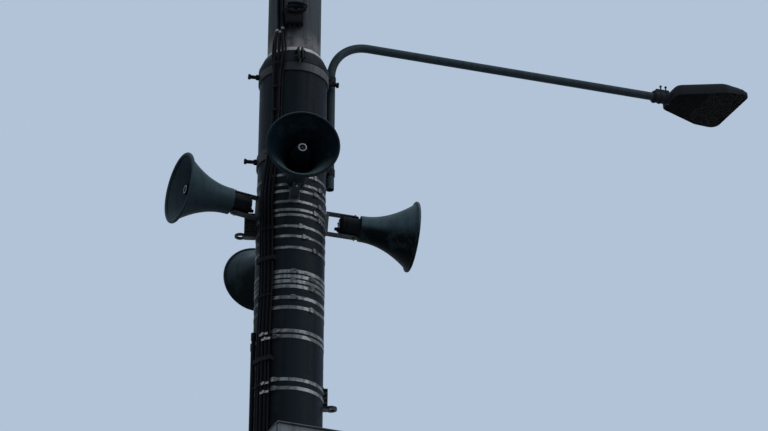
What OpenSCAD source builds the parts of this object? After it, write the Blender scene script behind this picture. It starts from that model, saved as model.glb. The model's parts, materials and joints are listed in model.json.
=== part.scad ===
// Warning siren mast: a stepped steel tube pole with four re-entrant horns, a lamp arm and a control
// cabinet. The origin is on the ground at the pole's axis, +Z is up and the lamp arm reaches to +X.

/* [Pole] */
// Outer diameter of the lower tube
lower_d = 377; // [360:1:390]
// Outer diameter of the upper tube
upper_d = 299; // [270:1:310]
// Wall of both tubes
tube_wall = 6; // [4:0.5:10]
// Height of the step between the two tubes
step_z = 9830; // [9800:5:9860]
// Height of the pole's top
pole_h = 11200; // [11000:10:11900]
/* [Base] */
// Diameter of the base flange
flange_d = 620; // [600:1:700]
// Thickness of the base flange
flange_t = 28; // [20:1:40]
// Bolt circle of the base flange
flange_pcd = 500; // [490:1:520]
// Bolt hole in the base flange
flange_hole_d = 33; // [24:1:40]
// Height of the stiffeners on the base flange
gusset_h = 170; // [100:5:200]
/* [Horns] */
// Outer diameter of a horn's mouth over its rolled rim
mouth_d = 395; // [360:1:420]
// Length of a horn from its pivot bolts to its mouth
horn_len = 332; // [325:1:345]
// Length of the flare from the mouth to the neck
flare_len = 285; // [260:1:287]
// Outer diameter of the neck
neck_d = 144; // [134:1:146]
// Outer diameter of the compression driver behind the neck
driver_d = 109; // [96:1:112]
// Wall of the flare
bell_wall = 3; // [2:0.5:4]
// Diameter of the rolled rim's bead
bead_d = 18; // [12:1:24]
// Diameter of the clamp bolts on which a horn turns
pivot_d = 10; // [8:1:12]
/* [Lamp arm] */
// Outer diameter of the lamp arm's pipe
arm_d = 48.6; // [42:0.1:50]
// Direction of the lamp arm about the pole
arm_az = 21; // [18:0.5:26]
// Bend radius of the lamp arm
arm_bend_r = 240; // [200:5:280]
// Rise of the straight stretch above level, in degrees
arm_rise = 3.5; // [0:0.5:6]
// Reach of the arm's end from the pole's axis
arm_reach = 2318; // [1500:1:2600]
// Length of the lamp's body
lamp_len = 440; // [420:1:450]
// Width of the lamp's body at its widest
lamp_w = 434; // [410:1:440]
/* [Cabinet] */
// Width of the cabinet
cabinet_w = 400; // [300:5:420]
// Height of the cabinet
cabinet_h = 500; // [440:5:560]
// Depth of the cabinet
cabinet_d = 200; // [150:5:220]
// Height of the cabinet's top
cabinet_top = 7445; // [7400:5:7500]
// Direction that the cabinet faces
cabinet_az = -70; // [-75:1:-65]
/* [Bands] */
// Width of a steel band
band_w = 20; // [16:1:20]
// Thickness of a steel band
band_t = 1.5; // [0.8:0.1:1.5]

/* [Hidden] */
$fn = 96;
fit = 0.3;
sink = 1;
joint_bead = 0.1;

lower_r = lower_d / 2;
upper_r = upper_d / 2;
lower_in = lower_r - tube_wall;
upper_in = upper_r - tube_wall;
upper_start = step_z - 300;
lip = 20;
cap_t = 12;

// Each horn: direction, height of its foot on the pole, tilt above level, pivot's distance from the pole
FRONT = [-85.1, 8948, 0, 154];
LEFT = [204, 8867, 2.3, 146];
RIGHT = [10, 8845, -3.5, 166];
REAR = [106, 8796, 0, 154];

// Horn outline, measured from the pivot: +X runs out through the mouth
mouth_x = horn_len;
neck_r = neck_d / 2;
bead_r = bead_d / 2;
lip_r = mouth_d / 2 - bead_r;
flare_x = mouth_x - bead_r;
back_x = 28;
back_t = 6;
throat_r = 20;
nose_x = mouth_x - 43;
nose_r = 28;
cup_x = nose_x - 157;
cup_r = 62;
cup_wall = 2.5;
throat_end = nose_x - 67;
driver_r = driver_d / 2;
driver_end = -88;
boss_r = 14;
boss_z = driver_r + 4.5;
arm_gap = 0.5;
strap_t = 5;
strap_w = 44;
web_gap = 11.5;
pivot_play = 0.05;
flare_steps = 14;

// Feet that bands pass over: direction, height, half height, half angle
pad_t = 3;
yoke_pad = 9;
yoke_half_h = 88;
anchor_pad = 8;
anchor_half_h = 62;
LEFT_ANCHOR = [182, 8784];
RIGHT_ANCHOR = [5, 7781];
cabinet_pad = 20;
foot_h = 40;
cabinet_foot_z = [cabinet_top - 90, cabinet_top - cabinet_h + 90];
FEET = [
    [FRONT[0], FRONT[1], yoke_half_h, yoke_pad],
    [LEFT[0], LEFT[1], yoke_half_h, yoke_pad],
    [RIGHT[0], RIGHT[1], yoke_half_h, yoke_pad],
    [REAR[0], REAR[1], yoke_half_h, yoke_pad],
    [LEFT_ANCHOR[0], LEFT_ANCHOR[1], anchor_half_h, anchor_pad],
    [RIGHT_ANCHOR[0], RIGHT_ANCHOR[1], anchor_half_h, anchor_pad],
    [cabinet_az, cabinet_foot_z[0], foot_h / 2, cabinet_pad],
    [cabinet_az, cabinet_foot_z[1], foot_h / 2, cabinet_pad]
];
HORN_BANDS = [8993, 8931, 8903, 8862, 8838, 8814, 8782, 8734, 8673, 8594];
MIDDLE_BANDS = [8438, 8408, 8379, 8349, 8284, 8225, 8087, 8055];
ANCHOR_BANDS = [7806, 7756];

// Clamps round the top of the lower tube
clamp_t = 8;
collar_z = [step_z - 93, step_z - 12];
strap_z = [step_z - 145, step_z - 99];
arm_clamp_z = [9150, 9215];
clamp_r = lower_r + clamp_t;
lug_az = -80;
bolt_az = [8.6, 98.6, 188.6];

// Lamp arm in its own upright plane
arm_r = arm_d / 2;
arm_wall = 3.5;
leg_x = clamp_r + arm_r + 5;
leg_z = 9080;
bend_z = 9802;
bend_end_x = leg_x + arm_bend_r - arm_bend_r * sin(arm_rise);
bend_end_z = bend_z + arm_bend_r * cos(arm_rise);
arm_len = (arm_reach - bend_end_x) / cos(arm_rise);
saddle_z = [(arm_clamp_z[0] + arm_clamp_z[1]) / 2, bend_z - 27];
tip_in = 50;
lamp_x = 80;
door_end = 0.46;
grip = 0.1;

// Cables on the pole: direction at the step and radius. They drift round the pole on their way.
CABLES = [[-127.9, 6], [-122.6, 8], [-116.3, 9], [-110, 8], [-104.7, 6]];
DRIFT = [[8000, -15], [8450, -12], [8870, -10], [9300, -6], [9640, 0]];
drift_up = -8;
cable_seat = clamp_r + 1;
cable_low_z = 2300;
hood_z = 10560;
hood_az = CABLES[2][0] + drift_up;
shift_z = step_z + 25;
shift_r = 120;
shift_lean = 20;
CONDUITS = [[206.5, 11], [199, 7]];
conduit_top = [8110, 8060];
conduit_gap = 8;
guard_z = [230, 2400];
guard_az = [190, 246];
guard_r = 240;
CLEATS = [9420, 8520, 7930, 6900, 5900, 4900, 3900, 2900];

cabinet_back = 215;
sheet_t = 2.5;

module ring(r_in, r_out, z0, z1) {
    translate([0, 0, z0])
        difference() {
            cylinder(r = r_out, h = z1 - z0);
            translate([0, 0, -1]) cylinder(r = r_in, h = z1 - z0 + 2);
        }
}

// A stretch of a flat ring round the pole, from angle a0 to a1, centred on its own height
module arc(r0, r1, h, a0, a1) {
    rotate([0, 0, a0])
        rotate_extrude(angle = a1 - a0)
            translate([r0, -h / 2]) square([r1 - r0, h]);
}

module box(x, y, z) {
    translate([x[0], y[0], z[0]]) cube([x[1] - x[0], y[1] - y[0], z[1] - z[0]]);
}

module bolt_out(x, r, len, head_r, head_t) {
    translate([x, 0, 0]) rotate([0, 90, 0]) {
        cylinder(r = r, h = len);
        translate([0, 0, len - head_t]) cylinder(r = head_r, h = head_t, $fn = 6);
    }
}

// Flange plate with its ring of bolt holes and eight welded stiffeners
module base_flange() {
    edge = flange_d / 2 - 12;
    color("dimgray")
        difference() {
            union() {
                cylinder(d = flange_d, h = flange_t);
                for (i = [0:7])
                    rotate([90, 0, i * 45 + 22.5])
                        linear_extrude(12, center = true)
                            polygon([
                                [lower_r - 5, flange_t - sink], [edge, flange_t - sink], [edge, flange_t + 24],
                                [lower_r + 14, flange_t + gusset_h], [lower_r - 5, flange_t + gusset_h]
                            ]);
            }
            for (i = [0:7])
                rotate([0, 0, i * 45])
                    translate([flange_pcd / 2, 0, -1]) cylinder(d = flange_hole_d, h = flange_t + 2);
            translate([0, 0, flange_t]) cylinder(r = lower_r, h = gusset_h + 10);
        }
}

module lower_tube() {
    color([0.18, 0.22, 0.24]) ring(lower_in, lower_r, flange_t, step_z - lip);
}

module step_ring() {
    color("silver")
        rotate_extrude()
            polygon([
                [upper_r, step_z - 70], [lower_in, step_z - 70], [lower_in, step_z - lip],
                [lower_r, step_z - lip], [lower_r, step_z + 10], [upper_r, step_z + 10]
            ]);
}

module upper_tube() {
    color([0.42, 0.45, 0.47]) ring(upper_in, upper_r, upper_start, pole_h - cap_t);
}

module pole_cap() {
    skirt = upper_r + 4;
    color([0.35, 0.38, 0.4])
        rotate_extrude()
            polygon([
                [0, pole_h - cap_t], [upper_r, pole_h - cap_t], [upper_r, pole_h - 40],
                [skirt, pole_h - 40], [skirt, pole_h - 9], [60, pole_h], [0, pole_h]
            ]);
}

// Clamp ring split at its lugs, drawn together by two bolts across the gap
module clamp_ring(z, az) {
    mid = (z[0] + z[1]) / 2;
    difference() {
        union() {
            ring(lower_r, clamp_r, z[0], z[1]);
            rotate([0, 0, az])
                for (s = [-1, 1])
                    translate([clamp_r - 2, s * 11 - 5, z[0]]) cube([34, 10, z[1] - z[0]]);
        }
        rotate([0, 0, az]) box([lower_r - 5, lower_r + 60], [-6, 6], [z[0] - 1, z[1] + 1]);
        rotate([0, 0, az])
            for (h = [z[0] + 20, z[1] - 20])
                translate([clamp_r + 17, -40, h]) rotate([-90, 0, 0]) cylinder(r = 6.2, h = 80);
        cylinder(r = lower_r, h = mid * 2);
    }
}

module lug_bolts(z, az) {
    rotate([0, 0, az])
        for (h = [z[0] + 20, z[1] - 20])
            translate([clamp_r + 17, 0, h]) rotate([-90, 0, 0]) {
                translate([0, 0, -34]) cylinder(r = 6, h = 62);
                translate([0, 0, -26]) cylinder(r = 11, h = 10, $fn = 6);
                translate([0, 0, 16]) cylinder(r = 11, h = 10, $fn = 6);
            }
}

// Set bolts that stand out from a clamp: a nut on the ring, a bare shank and a head
module set_bolts(z, angles) {
    for (a = angles)
        rotate([0, 0, a])
            translate([0, 0, z]) {
                bolt_out(clamp_r, 8, 60, 13, 11);
                translate([clamp_r, 0, 0]) rotate([0, 90, 0]) cylinder(r = 14, h = 16, $fn = 6);
            }
}

module step_collar() {
    color([0.16, 0.18, 0.2]) clamp_ring(collar_z, lug_az);
}

module collar_strap() {
    color([0.5, 0.54, 0.52]) ring(lower_r, lower_r + 4, strap_z[0], strap_z[1]);
}

module arm_clamp() {
    color([0.45, 0.48, 0.47]) clamp_ring(arm_clamp_z, lug_az + 40);
}

module clamp_bolts() {
    color([0.3, 0.31, 0.32]) {
        lug_bolts(collar_z, lug_az);
        set_bolts(collar_z[0] + 3, bolt_az);
        lug_bolts(arm_clamp_z, lug_az + 40);
        set_bolts(saddle_z[0], [bolt_az[1], bolt_az[2]]);
    }
}

// Saddle blocks between the clamps and the lamp arm's leg
module arm_saddles() {
    color([0.32, 0.34, 0.35])
        rotate([0, 0, arm_az])
            difference() {
                for (z = saddle_z) {
                    box([clamp_r - 6, clamp_r + 6], [-46, 46], [z - 20, z + 20]);
                    box([clamp_r, leg_x - 6], [-24, 24], [z - 20, z + 20]);
                }
                for (z = saddle_z)
                    translate([0, 0, z - 25]) cylinder(r = clamp_r, h = 50);
                translate([leg_x, 0, leg_z]) cylinder(r = arm_r + grip, h = bend_z - leg_z);
            }
}

module arm_caps() {
    seat = clamp_r + 6;
    color([0.32, 0.34, 0.35])
        rotate([0, 0, arm_az])
            for (z = saddle_z)
                translate([0, 0, z]) {
                    difference() {
                        union() {
                            translate([leg_x, 0, -20]) cylinder(r = arm_r + 4, h = 40);
                            box([seat, leg_x], [-arm_r - 4, arm_r + 4], [-20, 20]);
                            box([seat, seat + 5], [-46, 46], [-20, 20]);
                        }
                        translate([leg_x, 0, -21]) cylinder(r = arm_r + grip, h = 42);
                        box([seat - 10, leg_x], [-arm_r - grip, arm_r + grip], [-21, 21]);
                    }
                    for (s = [-1, 1])
                        translate([seat + 4, s * 37, 0]) rotate([0, 90, 0])
                            cylinder(r = 8, h = 9, $fn = 6);
                }
}

// A round bar bent in the upright plane, about a centre at x and z, from angle a0 through sweep,
// with a ball at each end that joins it to the next straight stretch
module elbow(x, z, bend_r, a0, sweep, r) {
    translate([x, 0, z])
        rotate([90, 0, 0]) {
            rotate([0, 0, a0])
                rotate_extrude(angle = sweep) translate([bend_r, 0]) circle(r = r);
            for (a = [a0, a0 + sweep])
                translate([bend_r * cos(a), bend_r * sin(a), 0]) sphere(r = r + joint_bead);
        }
}

module arm_path(r) {
    translate([leg_x, 0, leg_z]) cylinder(r = r, h = bend_z - leg_z);
    elbow(leg_x + arm_bend_r, bend_z, arm_bend_r, 90 + arm_rise, 90 - arm_rise, r);
    translate([bend_end_x, 0, bend_end_z])
        rotate([0, 90 - arm_rise, 0]) cylinder(r = r, h = arm_len + tip_in);
}

module lamp_arm() {
    color([0.3, 0.33, 0.34])
        rotate([0, 0, arm_az])
            difference() {
                arm_path(arm_r);
                arm_path(arm_r - arm_wall);
            }
}

// Places a child at the lamp arm's end, +X along the arm and +Z up
module at_tip() {
    rotate([0, 0, arm_az])
        translate([bend_end_x + arm_len * cos(arm_rise), 0, bend_end_z + arm_len * sin(arm_rise)])
            rotate([0, -arm_rise, 0]) children();
}

module lamp_spigot() {
    color([0.2, 0.21, 0.22])
        at_tip() {
            difference() {
                union() {
                    translate([-28, 0, 0]) rotate([0, 90, 0]) cylinder(r = 34, h = lamp_x + 28);
                    box([-6, lamp_x], [-17, 17], [20, 49]);
                    for (x = [-22, 14, 52])
                        translate([x, 0, 0]) rotate([0, 90, 0]) cylinder(r = 38, h = 8);
                }
                translate([-30, 0, 0]) rotate([0, 90, 0]) cylinder(r = arm_r + grip, h = tip_in + 30);
            }
            for (x = [34, 68])
                translate([x, 0, 48]) {
                    cylinder(r = 4, h = 34);
                    translate([0, 0, 26]) cylinder(r = 8, h = 8, $fn = 6);
                }
        }
}

// Outline of the lamp's body in plan, narrow at the arm, drawn in by the inset
module lamp_plan(inset = 0) {
    half = lamp_w / 2;
    hull()
        for (s = [-1, 1]) {
            translate([50, s * 60]) circle(r = 50 - inset, $fn = 32);
            translate([lamp_len * 0.68, s * (half - 62)]) circle(r = 55 - inset, $fn = 32);
            translate([lamp_len - 50, s * (half - 50)]) circle(r = 50 - inset, $fn = 32);
        }
}

// Raised gear cover over the lamp's inner half
module lamp_hump() {
    hull()
        for (s = [-1, 1]) {
            translate([54, s * 54]) circle(r = 34, $fn = 32);
            translate([lamp_len * 0.42, s * (lamp_w * 0.27)]) circle(r = 42, $fn = 32);
        }
}

module lamp_housing() {
    color([0.25, 0.27, 0.28])
        at_tip()
            translate([lamp_x, 0, 0])
                difference() {
                    union() {
                        translate([0, 0, -16]) linear_extrude(24) lamp_plan();
                        hull() {
                            translate([0, 0, 6]) linear_extrude(1) lamp_plan(1.5);
                            translate([0, 0, 54]) linear_extrude(2) lamp_hump();
                        }
                        for (i = [-3:3])
                            box([90, 235], [i * 26 - 2, i * 26 + 2], [50, 66]);
                    }
                    translate([0, 0, -17]) linear_extrude(21) lamp_plan(6);
                    translate([0, 0, 3]) linear_extrude(40) intersection() {
                        lamp_hump();
                        translate([12, -60]) square([200, 120]);
                    }
                }
}

module lamp_door() {
    color([0.16, 0.17, 0.18])
        at_tip()
            translate([lamp_x, 0, -14])
                linear_extrude(6)
                    difference() {
                        lamp_plan(6);
                        translate([lamp_len * door_end, -lamp_w]) square([lamp_len, lamp_w * 2]);
                    }
}

module lamp_glass() {
    color([0.1, 0.11, 0.12, 0.6])
        at_tip()
            translate([lamp_x, 0, -14])
                linear_extrude(5)
                    difference() {
                        lamp_plan(6);
                        translate([-10, -lamp_w]) square([lamp_len * door_end + 10, lamp_w * 2]);
                    }
}

module lamp_board() {
    color([0.75, 0.76, 0.74])
        at_tip()
            translate([lamp_x, 0, 0]) {
                box([226, 400], [-130, 130], [-2, 4]);
                for (i = [0:4])
                    for (j = [-3:3])
                        translate([246 + i * 34, j * 36, -7]) cylinder(r1 = 6, r2 = 9, h = 5);
            }
}

// Outer radius of a flare at distance d behind its lip
function flare_r(d) = neck_r + (lip_r - neck_r) * pow(1 - min(d, flare_len) / flare_len, 2);
function cup_out(t) = nose_r + (cup_r - nose_r) * sin(90 * t);

// Places a child in a horn's own frame, with the pivot at its origin
module horn_frame(h) {
    rotate([0, 0, h[0]])
        translate([lower_r, 0, h[1]])
            rotate([0, -h[2], 0])
                translate([h[3], 0, 0]) children();
}

module revolve_x() {
    rotate([0, 90, 0]) rotate_extrude() children();
}

module bell(h) {
    outer = [for (i = [0:flare_steps]) let (d = flare_len * i / flare_steps) [flare_r(d), flare_x - d]];
    inner = [for (i = [flare_steps:-1:0]) let (d = flare_len * i / flare_steps)
        [flare_r(d) - bell_wall, flare_x - d]];
    color([0.36, 0.42, 0.41])
        horn_frame(h) {
            revolve_x()
                polygon(concat(
                    outer,
                    [[neck_r, back_x], [throat_r + fit, back_x]],
                    [[throat_r + fit, back_x + back_t], [neck_r - bell_wall, back_x + back_t]],
                    inner
                ));
            revolve_x() translate([lip_r, flare_x]) circle(r = bead_r, $fn = 24);
            for (i = [0:3])
                rotate([i * 90 + 45, 0, 0])
                    translate([back_x - 5, 0, neck_r - 9]) rotate([0, 90, 0]) cylinder(r = 5, h = 5 + sink, $fn = 6);
        }
}

// Backward-facing cup that folds the sound path, with its nose cap and its three stay rods
module reflector(h) {
    n = 10;
    len = nose_x - cup_x;
    outer = [for (i = [0:n]) [cup_out(i / n), nose_x - len * i / n]];
    inner = [for (i = [n:-1:1]) [cup_out(i / n) - cup_wall, nose_x - len * i / n]];
    color([0.3, 0.35, 0.35])
        horn_frame(h) {
            revolve_x()
                polygon(concat(outer, inner, [[nose_r - cup_wall, nose_x - 4], [0, nose_x - 4], [0, nose_x]]));
            difference() {
                translate([nose_x, 0, 0]) rotate([0, 90, 0]) cylinder(r = nose_r - 1, h = 4);
                translate([nose_x - 1, 0, 0]) rotate([0, 90, 0]) cylinder(r = 13, h = 6);
            }
            translate([nose_x, 0, 0]) rotate([0, 90, 0]) cylinder(r = 7, h = 5, $fn = 6);
            for (i = [0:2])
                rotate([i * 120 + 60, 0, 0]) {
                    translate([back_x + back_t, 0, cup_r - 6]) rotate([0, 90, 0])
                        cylinder(r = 3, h = cup_x - back_x - back_t + 2);
                    translate([cup_x, -6, cup_r - 11]) cube([6, 12, 10]);
                }
        }
}

// Compression driver behind the neck, with its two pivot bosses, its cable gland and the throat tube
// that runs up inside the reflector
module driver(h) {
    r = driver_r;
    color([0.12, 0.14, 0.15])
        horn_frame(h)
            difference() {
                union() {
                    revolve_x()
                        polygon([
                            [0, driver_end], [r - 18, driver_end], [r - 5, driver_end + 8], [r, driver_end + 18],
                            [r, -62], [r - 3, -60], [r - 3, -54], [r, -52],
                            [r, back_x], [throat_r, back_x], [throat_r, back_x + 10], [throat_r + 14, throat_end],
                            [throat_r + 12, throat_end], [throat_r - 8, back_x], [throat_r - 8, back_x - 10],
                            [0, back_x - 10]
                        ]);
                    for (s = [-1, 1])
                        translate([0, 0, s > 0 ? r - 12 : -boss_z]) cylinder(r = boss_r, h = boss_z - r + 12);
                    translate([driver_end - 22, 0, -24]) rotate([0, 90, 0]) cylinder(r = 9, h = 24);
                    translate([driver_end - 10, 0, -24]) rotate([0, 90, 0]) cylinder(r = 13, h = 12, $fn = 6);
                }
                for (s = [-1, 1])
                    translate([0, 0, s > 0 ? r - 10 : -boss_z - 1])
                        cylinder(d = pivot_d + 2 * pivot_play, h = boss_z - r + 11);
            }
}

// Pad hugging the pole under the bands, placed by its own direction and height
module pad(az, z, half_h, half_a) {
    rotate([0, 0, az])
        translate([0, 0, z]) arc(lower_r, lower_r + pad_t, half_h * 2, -half_a, half_a);
}

// Room for every band that runs through a piece standing on its pad
module band_room(bands) {
    for (z = bands)
        ring(lower_r + pad_t - sink / 2, lower_r + pad_t + band_t + 0.6, z - band_w / 2 - 1, z + band_w / 2 + 1);
}

// Stirrup that holds a horn above and below its driver, on a banded pad
module yoke(h) {
    inside = boss_z + arm_gap;
    top = inside + strap_t;
    web_x = web_gap - h[3];
    color([0.34, 0.37, 0.37]) {
        pad(h[0], h[1], yoke_half_h, yoke_pad);
        difference() {
            horn_frame(h)
                for (s = [-1, 1])
                    translate([-h[3] - 12, s * (strap_w / 2 - 2) - 2, -top])
                        cube([web_gap + 14, 4, top * 2]);
            cylinder(r = lower_r + pad_t - sink, h = step_z);
            band_room(HORN_BANDS);
        }
        horn_frame(h) {
            box([web_x, web_x + strap_t], [-strap_w / 2, strap_w / 2], [-top, top]);
            for (s = [-1, 1]) {
                translate([0, 0, s > 0 ? inside : -top])
                    difference() {
                        union() {
                            box([web_x, 0], [-strap_w / 2, strap_w / 2], [0, strap_t]);
                            cylinder(r = strap_w / 2, h = strap_t);
                        }
                        for (x = [-90, -45])
                            translate([x, 0, -1]) cylinder(r = 5, h = strap_t + 2);
                    }
                translate([0, 0, s > 0 ? driver_r - 8 : -top - 7]) cylinder(d = pivot_d, h = top - driver_r + 15);
                translate([0, 0, s > 0 ? top : -top - 7]) cylinder(r = 9, h = 7, $fn = 6);
            }
        }
    }
}

// Directions of the feet that a band at height z passes over
function lifts(z) = [for (f = FEET) if (abs(z - f[1]) < f[2] + band_w / 2) [f[0], f[3]]];

function at(r, a) = [r * cos(a), r * sin(a)];

// Flat slice of the plan about the pole's axis, towards direction a
module slice(a, half) {
    polygon([[0, 0], at(2 * lower_r, a - half), at(2 * lower_r, a + half)]);
}

// Plan of a band's face, which stands out over each foot that the band holds
module band_plan(z, add, spread) {
    circle(r = lower_r + add);
    for (f = lifts(z))
        intersection() {
            circle(r = lower_r + pad_t + add);
            slice(f[0], f[1] + spread);
        }
}

// A steel band round the pole with its buckle
module band(z, buckle_az) {
    translate([0, 0, z - band_w / 2])
        linear_extrude(band_w)
            difference() {
                band_plan(z, band_t, 1.4);
                band_plan(z, 0, 0.8);
            }
    translate([0, 0, z - band_w / 2 - 3])
        linear_extrude(band_w + 6)
            intersection() {
                difference() {
                    circle(r = lower_r + band_t + 4);
                    circle(r = lower_r + band_t / 2);
                }
                slice(buckle_az, 4);
            }
}

module horn_bands() {
    color([0.72, 0.72, 0.7])
        for (i = [0:len(HORN_BANDS) - 1])
            band(HORN_BANDS[i], i % 2 == 0 ? -48 : -38);
}

module lower_bands() {
    color([0.72, 0.72, 0.7]) {
        for (i = [0:len(MIDDLE_BANDS) - 1])
            band(MIDDLE_BANDS[i], i > 5 ? -112 : i % 2 == 0 ? -84 : -52);
        for (z = ANCHOR_BANDS)
            band(z, -113);
        for (z = cabinet_foot_z)
            band(z, -10);
    }
}

// Line anchor: a ribbed block on its pad with a level eye
module anchor(place) {
    r = lower_r + pad_t;
    color([0.42, 0.43, 0.42]) {
        pad(place[0], place[1], anchor_half_h, anchor_pad);
        difference() {
            rotate([0, 0, place[0]])
                translate([0, 0, place[1]]) {
                    box([r - 6, r + 22], [-9, 9], [-59, 59]);
                    for (z = [-58, -30, -2, 26, 54])
                        box([r - 6, r + 20], [-22, 22], [z - 3, z + 3]);
                    box([r + 10, r + 42], [-15, 15], [-58, -44]);
                    translate([r + 42, 0, -58]) cylinder(r = 31, h = 14);
                }
            cylinder(r = r - sink, h = step_z);
            band_room(concat(HORN_BANDS, ANCHOR_BANDS));
            rotate([0, 0, place[0]])
                translate([r + 42, 0, place[1] - 60]) cylinder(r = 17, h = 18);
        }
    }
}

// Straight round bar between two points; a ball at its start joins it to the bar before it
module bar(p, q, r, ball = true) {
    d = q - p;
    translate(p) {
        if (ball) sphere(r = r + joint_bead);
        rotate([0, acos(d[2] / norm(d)), atan2(d[1], d[0])]) cylinder(r = r, h = norm(d));
    }
}

function on_pole(r, a, z) = [r * cos(a), r * sin(a), z];

// One cable of the riser: up the lower tube, in over the step and on up the upper tube
module riser_cable(az, r) {
    x0 = cable_seat + r;
    x1 = upper_r + r + 1;
    turn_x = shift_r * (1 - cos(shift_lean));
    turn_z = shift_r * sin(shift_lean);
    lean_len = (x0 - x1 - 2 * turn_x) / sin(shift_lean);
    z1 = shift_z + 2 * turn_z + lean_len * cos(shift_lean);
    drift_z = z1 + 240;
    last = len(DRIFT) - 1;
    translate([0, 0, cable_low_z])
        rotate([0, 0, az + DRIFT[0][1]]) translate([x0, 0, 0]) cylinder(r = r, h = DRIFT[0][0] - cable_low_z);
    for (i = [1:last])
        bar(
            on_pole(x0, az + DRIFT[i - 1][1], DRIFT[i - 1][0]),
            on_pole(x0, az + DRIFT[i][1], DRIFT[i][0]),
            r
        );
    bar(on_pole(x0, az, DRIFT[last][0]), on_pole(x0, az, shift_z), r);
    rotate([0, 0, az]) {
        elbow(x0 - shift_r, shift_z, shift_r, 0, shift_lean, r);
        translate([x0 - turn_x, 0, shift_z + turn_z])
            rotate([0, -shift_lean, 0]) cylinder(r = r, h = lean_len);
        elbow(x1 + shift_r, z1, shift_r, 180, shift_lean, r);
    }
    bar(on_pole(x1, az, z1), on_pole(x1, az + drift_up, drift_z), r, false);
    bar(on_pole(x1, az + drift_up, drift_z), on_pole(x1, az + drift_up, hood_z + 60), r);
}

module cable_riser() {
    color([0.07, 0.08, 0.09])
        for (c = CABLES) riser_cable(c[0], c[1]);
}

// Saddle cleats over the riser's cables, and a ring and foot on each conduit
module riser_cleats() {
    top = cable_seat + 2 * CABLES[2][1];
    color([0.2, 0.21, 0.22]) {
        for (z = CLEATS) {
            a0 = CABLES[0][0] + lookup(z, DRIFT) - 5;
            a1 = CABLES[len(CABLES) - 1][0] + lookup(z, DRIFT) + 5;
            translate([0, 0, z - 12])
                linear_extrude(24) {
                    intersection() {
                        difference() {
                            circle(r = top + 2);
                            circle(r = top);
                        }
                        slice((a0 + a1) / 2, (a1 - a0) / 2);
                    }
                    for (a = [a0, a1])
                        intersection() {
                            difference() {
                                circle(r = top + 2);
                                circle(r = lower_r);
                            }
                            slice(a, 0.6);
                        }
                }
        }
        for (c = CONDUITS)
            for (i = [2:len(CLEATS) - 1])
                rotate([0, 0, c[0]])
                    translate([0, 0, CLEATS[i] - 12])
                        linear_extrude(24)
                            difference() {
                                union() {
                                    translate([lower_r + c[1] + conduit_gap, 0]) circle(r = c[1] + 2);
                                    translate([lower_r - 3, -6]) square([conduit_gap + 6, 12]);
                                }
                                translate([lower_r + c[1] + conduit_gap, 0]) circle(r = c[1]);
                                circle(r = lower_r);
                            }
    }
}

module riser_hood() {
    x1 = upper_r + 62;
    color([0.36, 0.39, 0.4])
        rotate([0, 0, hood_az])
            difference() {
                box([upper_r - 30, x1], [-80, 80], [hood_z, hood_z + 170]);
                box([upper_r - 31, x1 - 3], [-77, 77], [hood_z - 1, hood_z + 167]);
                translate([0, 0, hood_z - 5]) cylinder(r = upper_r, h = 200);
                translate([x1, -100, hood_z + 120]) rotate([0, -40, 0]) cube([100, 200, 100]);
            }
}

module conduits() {
    color([0.3, 0.33, 0.35])
        for (i = [0:1])
            rotate([0, 0, CONDUITS[i][0]])
                translate([lower_r + CONDUITS[i][1] + conduit_gap, 0, cable_low_z])
                    difference() {
                        union() {
                            cylinder(r = CONDUITS[i][1], h = conduit_top[i] - cable_low_z);
                            translate([0, 0, conduit_top[i] - cable_low_z - 40])
                                cylinder(r = CONDUITS[i][1] + 3, h = 40);
                        }
                        translate([0, 0, -1])
                            cylinder(r = CONDUITS[i][1] - 2.5, h = conduit_top[i] - cable_low_z + 2);
                    }
}

// Curved steel cover over the cables near the ground
module cable_guard() {
    color([0.3, 0.33, 0.34])
        translate([0, 0, guard_z[0]])
            linear_extrude(guard_z[1] - guard_z[0]) {
                intersection() {
                    difference() {
                        circle(r = guard_r);
                        circle(r = guard_r - 3);
                    }
                    slice((guard_az[0] + guard_az[1]) / 2, (guard_az[1] - guard_az[0]) / 2);
                }
                for (a = guard_az)
                    intersection() {
                        difference() {
                            circle(r = guard_r);
                            circle(r = lower_r);
                        }
                        slice(a, 0.5);
                    }
            }
}

// Small splice box on the front of the upper tube
module junction_box() {
    color([0.1, 0.11, 0.12])
        rotate([0, 0, -88])
            difference() {
                union() {
                    box([upper_r - 20, upper_r + 46], [-38, 42], [9990, 10060]);
                    box([upper_r - 20, upper_r + 36], [-34, 38], [10060, 10098]);
                    translate([upper_r + 22, 16, 10040]) cylinder(r = 18, h = 78);
                    for (y = [-22, 2, 26])
                        translate([upper_r + 22, y, 9975]) cylinder(r = 9, h = 16);
                }
                translate([0, 0, 9900]) cylinder(r = upper_r, h = 300);
            }
}

// Places a child in the cabinet's frame: X out of the pole, Z from the cabinet's underside
module cabinet_frame() {
    rotate([0, 0, cabinet_az])
        translate([cabinet_back, 0, cabinet_top - cabinet_h]) children();
}

module cabinet_body() {
    half = cabinet_w / 2;
    color([0.6, 0.64, 0.68])
        cabinet_frame()
            difference() {
                union() {
                    box([0, cabinet_d - 20], [-half, half], [0, cabinet_h]);
                    box([0, cabinet_d + 12], [-half - 4, half + 4], [cabinet_h - 3, cabinet_h]);
                    for (s = [-1, 1])
                        for (z = [130, 150, 170])
                            box([60, 130], [s * half - 3, s * half + 3], [z, z + 5]);
                }
                box([sheet_t, cabinet_d], [sheet_t - half, half - sheet_t], [sheet_t, cabinet_h - 3]);
            }
}

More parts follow.
